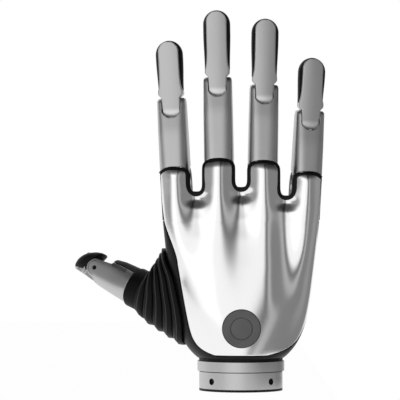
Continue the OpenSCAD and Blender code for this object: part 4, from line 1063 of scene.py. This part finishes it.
def thumbSide(tag, side):
    # dark disc of painted shade in the pin hole, the line of the hinge ear round it, and a grey patch of painted
    # shade for the recessed flat beside the palm side
    m = thumbMarks
    turn, ring = np.linspace(0, 2 * pi, m["holePoints"])[None], np.array(m["holeRings"])[:, None]
    y, along = ring * np.sin(turn), ring * np.cos(turn)
    # painted shade: a dark disc stands in for the shade inside the pin hole
    sidePatch("thumbHole" + tag, side, y, along, m["lift"], boreDark)
    turn = np.linspace(m["earFrom"], m["earTo"], m["earPoints"])[None]
    ring = np.array(m["earLine"])[:, None]
    y, along = ring * np.sin(turn), ring * np.cos(turn)
    sidePatch("thumbEarLine" + tag, side, y, along, m["lift"], boreDark)
    rows, columns = m["gripPoints"]
    y, along = np.meshgrid(np.linspace(*m["gripDepth"], rows), np.linspace(*m["gripLength"], columns),
                           indexing="ij")
    # painted shade: a grey patch stands in for the shade of a recessed flat
    sidePatch("thumbGrip" + tag, side, y, along, m["gripLift"], gripGrey)


def thumbSleeve():
    # smooth rubber sleeve with a rounded upper edge
    r, lo, hi = thumb["sleeveRadius"], thumb["root"], thumb["sleeveEnd"]
    edge, hole, (lip, drop) = thumb["sleeveEdge"], r - thumb["sleeveWall"], thumb["sleeveLip"]
    turn = np.linspace(0, pi / 2, thumb["sleeveArc"])[1:]
    arc = list(zip(r - edge + edge * np.cos(turn), hi - edge + edge * np.sin(turn)))
    profile = [(r, lo), (r, hi - edge)] + arc + [(hole + lip, hi), (hole, hi - drop), (hole, lo)]
    obj = lathe("thumbSleeveSkin", profile, thumb["sleeveAround"], thumbAxes, thumbRoot,
                finishes["bellows_rubber"])
    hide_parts("thumb_sleeve")
    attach(obj, "thumb")


bellows = {
    "folds": 5, "around": 128, "depth": 2.1, "peak": 0.55, "crest": 0.3, "crestWidth": 0.035, "wall": 0.9,
    # its mouth on the palm: centre, half height, rounding, and the angles round the palm that it spans
    "middle": np.array([-31.0, 4.0, 46.5]), "halfHeight": 23.5, "rounding": 0.7, "turn": (-113, -57),
    "lift": 0.8, "overSleeve": 0.4, "overRoot": 0.3, "underRoot": 1, "endRun": 6, "arcShare": 0.75,
    "straightTo": 0.6,
    # points along one pleat, close together round its crest
    "pleat": [0, 0.04, 0.1, 0.18, 0.27, 0.36, 0.44, 0.48, 0.505, 0.52, 0.535, 0.55, 0.565, 0.58, 0.6, 0.64,
              0.7, 0.78, 0.86, 0.92, 0.96],
}


def crestOf(u):
    # 1 on the crest of a pleat, fading quickly to both sides; it raises the crest and places its painted highlight
    return np.exp(-(((u * bellows["folds"]) % 1 - bellows["peak"]) / bellows["crestWidth"]) ** 2)


def pleatWave(u):
    # each pleat rises slowly, part in an arc and part straight, and turns over in an arc at its crest
    b = bellows
    p, peak = (u * b["folds"]) % 1, b["peak"]

    def arc(run):
        return np.sqrt(np.clip(1 - ((p - peak) / run) ** 2, 0, 1))
    share, top = b["arcShare"], b["straightTo"]
    rise = share * arc(peak) + (1 - share) * np.clip(p / top, 0, 1) * np.clip((1 - p) / (1 - top), 0, 1)
    wave = b["depth"] * np.where(p > peak, arc(1 - peak), rise) + b["crest"] * crestOf(u)
    return wave * np.minimum(1, b["endRun"] * (1 - u))


def bellowsRing(u, angle, inset):
    # from a rounded rectangle on the palm to a circle on the sleeve, with a rippled radius
    b = bellows
    s, c = np.sin(angle), np.cos(angle)
    boxed = [np.sign(v) * np.abs(v) ** b["rounding"] for v in (s, c)]
    z = b["middle"][2] + b["halfHeight"] * boxed[0]
    start = palmPoint(z, np.radians(b["turn"][0] + b["turn"][1] * boxed[1]), -b["lift"])
    r, foot = thumb["sleeveRadius"] + b["overSleeve"], thumb["root"] - b["overRoot"]
    end = place(np.stack([-r * c, r * s, np.full(angle.shape, foot)], axis=-1), thumbAxes, thumbRoot)
    centre = place(np.array([-r, 0, foot]), thumbAxes, thumbRoot)
    m = start[None] + (end - start)[None] * u[:, None, None]
    out = m - (b["middle"] + (centre - b["middle"]) * u[:, None])[:, None]
    out /= np.linalg.norm(out, axis=2, keepdims=True)
    return m + out * (pleatWave(u) - inset)[:, None, None]


def bellowsHalf(name, lo, hi):
    # rings of the pleated tube between two shares of its length, with a wall inside
    b = bellows
    u = ((np.arange(b["folds"])[:, None] + np.array(b["pleat"])) / b["folds"]).ravel()
    u = np.concatenate([[lo], u[(u > lo + 1e-6) & (u < hi - 1e-6)], [hi]])
    angle = -np.linspace(0, 2 * pi, b["around"], endpoint=False)
    verts, faces = thickSheet(bellowsRing(u, angle, 0), bellowsRing(u, angle, b["wall"]), around=True)
    obj = putMesh(name, verts, faces, finishes["bellows_rubber"], crease=70)
    # painted highlight: each pleat's crest is paler, as if it caught the light
    paintHighlight(obj, np.tile(np.repeat(crestOf(u), b["around"]), 2))
    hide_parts("thumb_bellows")
    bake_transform(obj)


thumbShell()
thumbSleeve()
thumbTipShape = dict(tipShape, collarFrom=6.2, collarTo=6.0, plate=4.75, padFront=6.6, palmFace=4.4,
                     tonguePale=0, faceLine=([-4.6, 0, 4.4, 13.3], [6.9, 6.6, 5.9, 4.9]))
tipPlate("thumb", "thumb_tip", thumbHinge, thumbAxes, thumb["tip"], thumbTipShape)
tipCore("thumb", "thumb_tip", thumbHinge, thumbAxes, thumbTipShape["collarTo"], thumbTipShape, "thumb_tip")
thumbPad()
thumbSide("Left", -1)
thumbSide("Right", 1)
bellowsHalf("bellowsInner", 0, 0.5)
bellowsHalf("bellowsOuter", 0.5, 1)
print("thumb done")


button = {
    # profiles as (change of radius, depth): the bezel's edge and the mouth of its hole, the dark line, the
    # cap's edge
    "bezelEdge": [(0, -0.5), (-0.06, -0.3), (-0.2, -0.12), (-0.45, -0.02), (-0.7, 0)],
    "hole": 5.45, "holeMouth": [(0.35, 0), (0.12, -0.05), (0, -0.2)], "bezelDepth": 5.2, "flange": 1.9,
    "innerRadius": 7.5, "around": 128,
    "line": [(-0.25, -0.02), (-0.25, 0.02), (-0.04, -0.08), (0.04, -0.3), (0.04, -0.9), (-0.25, -0.9)],
    "capRadius": 5.4, "capEdge": [(-0.6, 0), (-0.3, -0.04), (-0.1, -0.15), (0, -0.35)], "capSkirt": 4,
    "capWall": 1.2, "capDraft": 0.1, "capTop": 1.4, "capPole": 0.01, "capAround": 96,
}


def radiiOf(radius, profile):
    # a profile's changes of radius become radii
    return [(radius + dr, h) for dr, h in profile]


def buttonParts():
    # bezel, a dark line at its outer edge, and the push cap, turned round an axis that faces out of the back
    b = button
    axes = np.array([[1.0, 0, 0], [0, 0, 1.0], [0, -1.0, 0]])
    centre = np.array([0, bezelLow[1], buttonZ])
    r, under, deep = (bezelHigh[0] - bezelLow[0]) / 2, -b["flange"], -b["bezelDepth"]
    edge = [(r, under)] + radiiOf(r, b["bezelEdge"])
    inside = radiiOf(b["hole"], b["holeMouth"]) + [(b["hole"], deep)]
    seat = [(b["innerRadius"], deep), (b["innerRadius"], under)]
    obj = lathe("bezelSkin", edge + inside + seat, b["around"], axes, centre, finishes["button_plastic"])
    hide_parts("button_bezel")
    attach(obj, "hand")
    obj = lathe("bezelRim", radiiOf(r, b["line"]), b["around"], axes, centre, boreDark)
    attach(obj, "hand")
    r, skirt, top, pole = b["capRadius"], -b["capSkirt"], -b["capTop"], b["capPole"]
    wall = r - b["capWall"]
    outside = [(pole, 0)] + radiiOf(r, b["capEdge"]) + [(r, skirt)]
    inside = [(wall, skirt), (wall - b["capDraft"], top), (pole, top)]
    centre = np.array([0, boxOf("button_cap")[0][1], buttonZ])
    obj = lathe("capSkin", outside + inside, b["capAround"], axes, centre, finishes["button_plastic"])
    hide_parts("button_cap")
    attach(obj, "button")


grip = {
    "low": 24, "high": 84, "crown": 1.6, "edge": 1.3, "sink": 0.12, "across": 48,
    "rightShare": 0.86, "leftLow": 3, "leftHigh": -32, "leftRange": (66, 12),
    "edgeRows": [0, 0.1, 0.3, 0.7, 1.3], "edgeColumns": [0, 0.002, 0.006, 0.014, 0.026],
    "rowsFrom": 2, "columnsFrom": 0.045, "even": 50,
}


def palmPad():
    # soft grip on the palm side, crowned and rolled down at its edge
    g = grip
    low, high = g["low"], g["high"]
    fine, first = np.array(g["edgeRows"]), g["rowsFrom"]
    z = np.concatenate([low + fine, np.linspace(low + first, high - first, g["even"]), high - fine[::-1]])
    fine, first = np.array(g["edgeColumns"]), g["columnsFrom"]
    u = np.concatenate([fine, np.linspace(first, 1 - first, g["even"]), 1 - fine[::-1]])
    left = mix(g["leftLow"], g["leftHigh"], ease(z, g["leftRange"]))
    x = mix((g["rightShare"] * halfWidth(z))[:, None], left[:, None], u[None])
    zz = np.repeat(z[:, None], len(u), 1)
    toEnds = np.minimum(z - low, high - z)[:, None]
    away = np.minimum(toEnds, np.minimum(u, 1 - u)[None] * g["across"])
    angle = pi - angleAt(zz, x)
    outer = palmPoint(zz, angle, rolled(away, g["edge"]) - g["crown"])
    inner = palmPoint(zz, angle, -g["sink"])
    verts, faces = thickSheet(outer, inner)
    obj = putMesh("palmPadSkin", verts, faces, finishes["soft_pad"])
    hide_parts("palm_pad")
    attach(obj, "hand")


wrist = {
    "lineDepth": 0.4, "lineHeight": 0.42, "proud": 0.04, "lap": 0.02, "around": 128,
    "holes": 4, "firstHole": 45, "holeHeight": 5.0, "holeAround": 40,
    # painted shade lining a hole, a dark plug: (radius, place along the hole from the ring's outside)
    "lining": [(0.01, -0.75), (1.64, -0.75), (1.64, -0.35), (1.78, -0.35), (1.78, -1.2), (0.01, -1.2)],
}
wristLow, wristHigh = boxOf("wrist_ring")
wristRadius = (wristHigh[0] - wristLow[0]) / 2


def ringLine():
    # dark joint between the wrist ring and the flange
    w = wrist
    top = boxOf("wrist_flange")[0][2] - w["lap"]
    inside, outside = wristRadius - w["lineDepth"], wristRadius + w["proud"]
    low, high = top - w["lineHeight"], top + w["lap"]
    profile = [(inside, low), (outside, low), (outside, high), (inside, high)]
    obj = lathe("ringLine", profile, w["around"], np.eye(3), np.zeros(3), boreDark)
    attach(obj, "wrist")


def holeShades():
    # painted shade in the screw holes round the wrist: dark linings that stand in for the shade inside them
    w = wrist
    for k in range(w["holes"]):
        a = math.radians(w["firstHole"] + 360 / w["holes"] * k)
        outward = np.array([math.cos(a), math.sin(a), 0])
        axes = np.array([[-math.sin(a), math.cos(a), 0], [0, 0, 1.0], outward])
        centre = outward * wristRadius + np.array([0, 0, w["holeHeight"]])
        obj = lathe("holeShade%d" % (k + 1), w["lining"], w["holeAround"], axes, centre, boreDark)
        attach(obj, "wrist")


buttonParts()
palmPad()
holeShades()
ringLine()
print("button, grip and wrist done")


def seenRays(tree):
    # 1 for rays from the camera, from a mirror and through glass, 0 for plain light
    rays = addNode(tree, "LightPath", {})
    seen = rays.outputs["Is Camera Ray"]
    for kind in ["Is Glossy Ray", "Is Transmission Ray"]:
        seen = addNode(tree, "Math", {0: seen, 1: rays.outputs[kind]}, operation="MAXIMUM").outputs[0]
    return seen


floor = {"left": -1.2, "right": 0.046, "front": -0.8, "back": 0.8, "level": -0.0006, "cells": 8,
         "colour": (0.85, 0.85, 0.85, 1), "white": 0.98}


def paleFloor():
    # a flat pale floor, in metres; it ends a little to the right of the hand, so that the cover's right side
    # mirrors the grey of the tent
    f = floor
    n = f["cells"] + 1
    across, deep = np.linspace(f["left"], f["right"], n), np.linspace(f["front"], f["back"], n)
    x, y = np.meshgrid(across, deep, indexing="ij")
    grid = np.stack([x, y, np.full(x.shape, f["level"])], axis=-1)
    i, j = np.meshgrid(np.arange(n - 1), np.arange(n - 1), indexing="ij")
    quads = np.stack([i * n + j, (i + 1) * n + j, (i + 1) * n + j + 1, i * n + j + 1], axis=-1)
    mesh = bpy.data.meshes.new("paleFloor")
    mesh.from_pydata(grid.reshape(-1, 3).tolist(), [], quads.reshape(-1, 4).tolist())
    obj = bpy.data.objects.new("paleFloor", mesh)
    bpy.context.scene.collection.objects.link(obj)
    mat, tree = newMaterial("paleFloor")
    tree.nodes.remove(tree.nodes["Principled BSDF"])
    paper = addNode(tree, "BsdfDiffuse", {"Color": f["colour"]})
    glow = addNode(tree, "Emission", {"Strength": 1.0})
    share = addNode(tree, "Math", {0: seenRays(tree), 1: f["white"]}, operation="MULTIPLY")
    surface = addNode(tree, "MixShader", {"Fac": share.outputs[0], 1: paper.outputs[0], 2: glow.outputs[0]})
    tree.links.new(surface.outputs[0], tree.nodes["Material Output"].inputs["Surface"])
    mesh.materials.append(mat)


sky = {"plain": (0.8, 0.8, 0.8, 1), "seen": (1, 1, 1, 1)}


def whiteWorld():
    # white for the camera, in mirrors and through glass, a little lower as plain light
    world = bpy.data.worlds.new("studio")
    bpy.context.scene.world = world
    world.use_nodes = True
    tree = world.node_tree
    sockets = {"A": sky["plain"], "B": sky["seen"], "Factor": seenRays(tree)}
    colour = addNode(tree, "Mix", sockets, data_type="RGBA")
    tree.links.new(colour.outputs["Result"], tree.nodes["Background"].inputs["Color"])


tent = {
    "radius": 2000, "height": 100, "rings": 24, "around": 48, "pole": 0.01,
    # level of light by direction, as (place from -1 to 1, level): across to the right, and upwards
    "across": [(-1, 0.4), (-0.9, 0.3), (-0.72, 0.36), (-0.56, 0.85), (-0.42, 1), (0.08, 1), (0.15, 0.6),
               (0.21, 0.25), (0.27, 0.12), (0.34, 0.2), (0.43, 0.48), (0.53, 0.42), (0.62, 0.22), (0.9, 0.22),
               (1, 0.3)],
    "upward": [(-1, 0.8), (-0.3, 1), (0.34, 1), (0.5, 0.5), (0.64, 0.18), (0.8, 0.07), (1, 0.08)],
    # where it is plain white instead: at the rear on the left, and straight behind
    "plainWhite": (0.97, 0.97, 0.97, 1), "rear": [(0.1, 0), (0.3, 1)], "left": [(0.0, 1), (0.1, 0)],
    "straightBehind": [(0.78, 0), (0.9, 1)],
}


def lightTent():
    # a round tent far outside the view: white on the left and in front, grey on the right and overhead
    t = tent
    up = np.linspace(t["pole"] - pi / 2, pi / 2 - t["pole"], t["rings"])[:, None]
    turn = np.linspace(0, 2 * pi, t["around"], endpoint=False)[None]
    rows = t["radius"] * np.stack(np.broadcast_arrays(np.cos(up) * np.cos(turn), np.cos(up) * np.sin(turn),
                                                      np.sin(up)), axis=-1)
    verts, faces = closedLoft(rows + np.array([0, 0, t["height"]]))
    mat, tree = newMaterial("tentCloth")
    tree.nodes.remove(tree.nodes["Principled BSDF"])
    where = addNode(tree, "TexCoord", {}).outputs["Object"]
    toward = addNode(tree, "VectorMath", {0: where}, operation="NORMALIZE").outputs["Vector"]
    direction = addNode(tree, "SeparateXYZ", {0: toward}).outputs

    def levels(axis, stops):
        half = addNode(tree, "Math", {0: direction[axis], 1: 0.5, 2: 0.5}, operation="MULTIPLY_ADD")
        ramp = addNode(tree, "ValToRGB", {0: half.outputs[0]})
        while len(ramp.color_ramp.elements) < len(stops):
            ramp.color_ramp.elements.new(0.5)
        for stop, (at, level) in zip(ramp.color_ramp.elements, stops):
            stop.position = at * 0.5 + 0.5
            stop.color = (level, level, level, 1)
        return ramp.outputs["Color"]
    both = addNode(tree, "Mix", {"Factor": 1, "A": levels("X", t["across"]), "B": levels("Z", t["upward"])},
                   data_type="RGBA", blend_type="MULTIPLY")
    rear, left, behind = levels("Y", t["rear"]), levels("X", t["left"]), levels("Y", t["straightBehind"])
    rearLeft = addNode(tree, "Math", {0: rear, 1: left}, operation="MULTIPLY")
    plain = addNode(tree, "Math", {0: rearLeft.outputs[0], 1: behind}, operation="MAXIMUM")
    sockets = {"A": both.outputs["Result"], "B": t["plainWhite"], "Factor": plain.outputs[0]}
    cloth = addNode(tree, "Mix", sockets, data_type="RGBA")
    glow = addNode(tree, "Emission", {"Strength": 1.0, "Color": cloth.outputs["Result"]})
    tree.links.new(glow.outputs[0], tree.nodes["Material Output"].inputs["Surface"])
    mat.cycles.emission_sampling = "NONE"
    obj = putMesh("lightTent", verts, faces, mat, crease=35)
    obj.visible_camera = False


keyLight = {"place": (-0.8, -1.3, 0.35), "aim": (0, 0, 0.1), "size": 1.0, "power": 0.7}


def softLight():
    # one large soft lamp from the left, in metres and watts
    k = keyLight
    data = bpy.data.lights.new("keyLight", "AREA")
    data.size, data.energy = k["size"], k["power"]
    obj = bpy.data.objects.new("keyLight", data)
    bpy.context.scene.collection.objects.link(obj)
    obj.location = k["place"]
    obj.rotation_euler = (Vector(k["aim"]) - Vector(k["place"])).to_track_quat("-Z", "Y").to_euler()


camera = {"across": -20.5, "distance": 1400, "height": 95.25, "sensor": 36, "viewWidth": 200,
          "viewPlane": 5, "clip": (0.05, 20)}


def putCamera():
    # level view of the back of the hand from well back, 200 mm wide at a plane 5 mm in front of the wrist's
    # axis
    c = camera
    data = bpy.data.cameras.new("camera")
    obj = bpy.data.objects.new("camera", data)
    bpy.context.scene.collection.objects.link(obj)
    obj.location = (c["across"] / mm, -c["distance"] / mm, c["height"] / mm)
    obj.rotation_euler = (pi / 2, 0, 0)
    data.sensor_width = c["sensor"]
    data.lens = c["sensor"] * (c["distance"] - c["viewPlane"]) / c["viewWidth"]
    data.clip_start, data.clip_end = c["clip"]
    bpy.context.scene.camera = obj


paleFloor()
whiteWorld()
lightTent()
softLight()
putCamera()
bpy.context.scene.view_settings.view_transform = "Standard"
print("stage done")
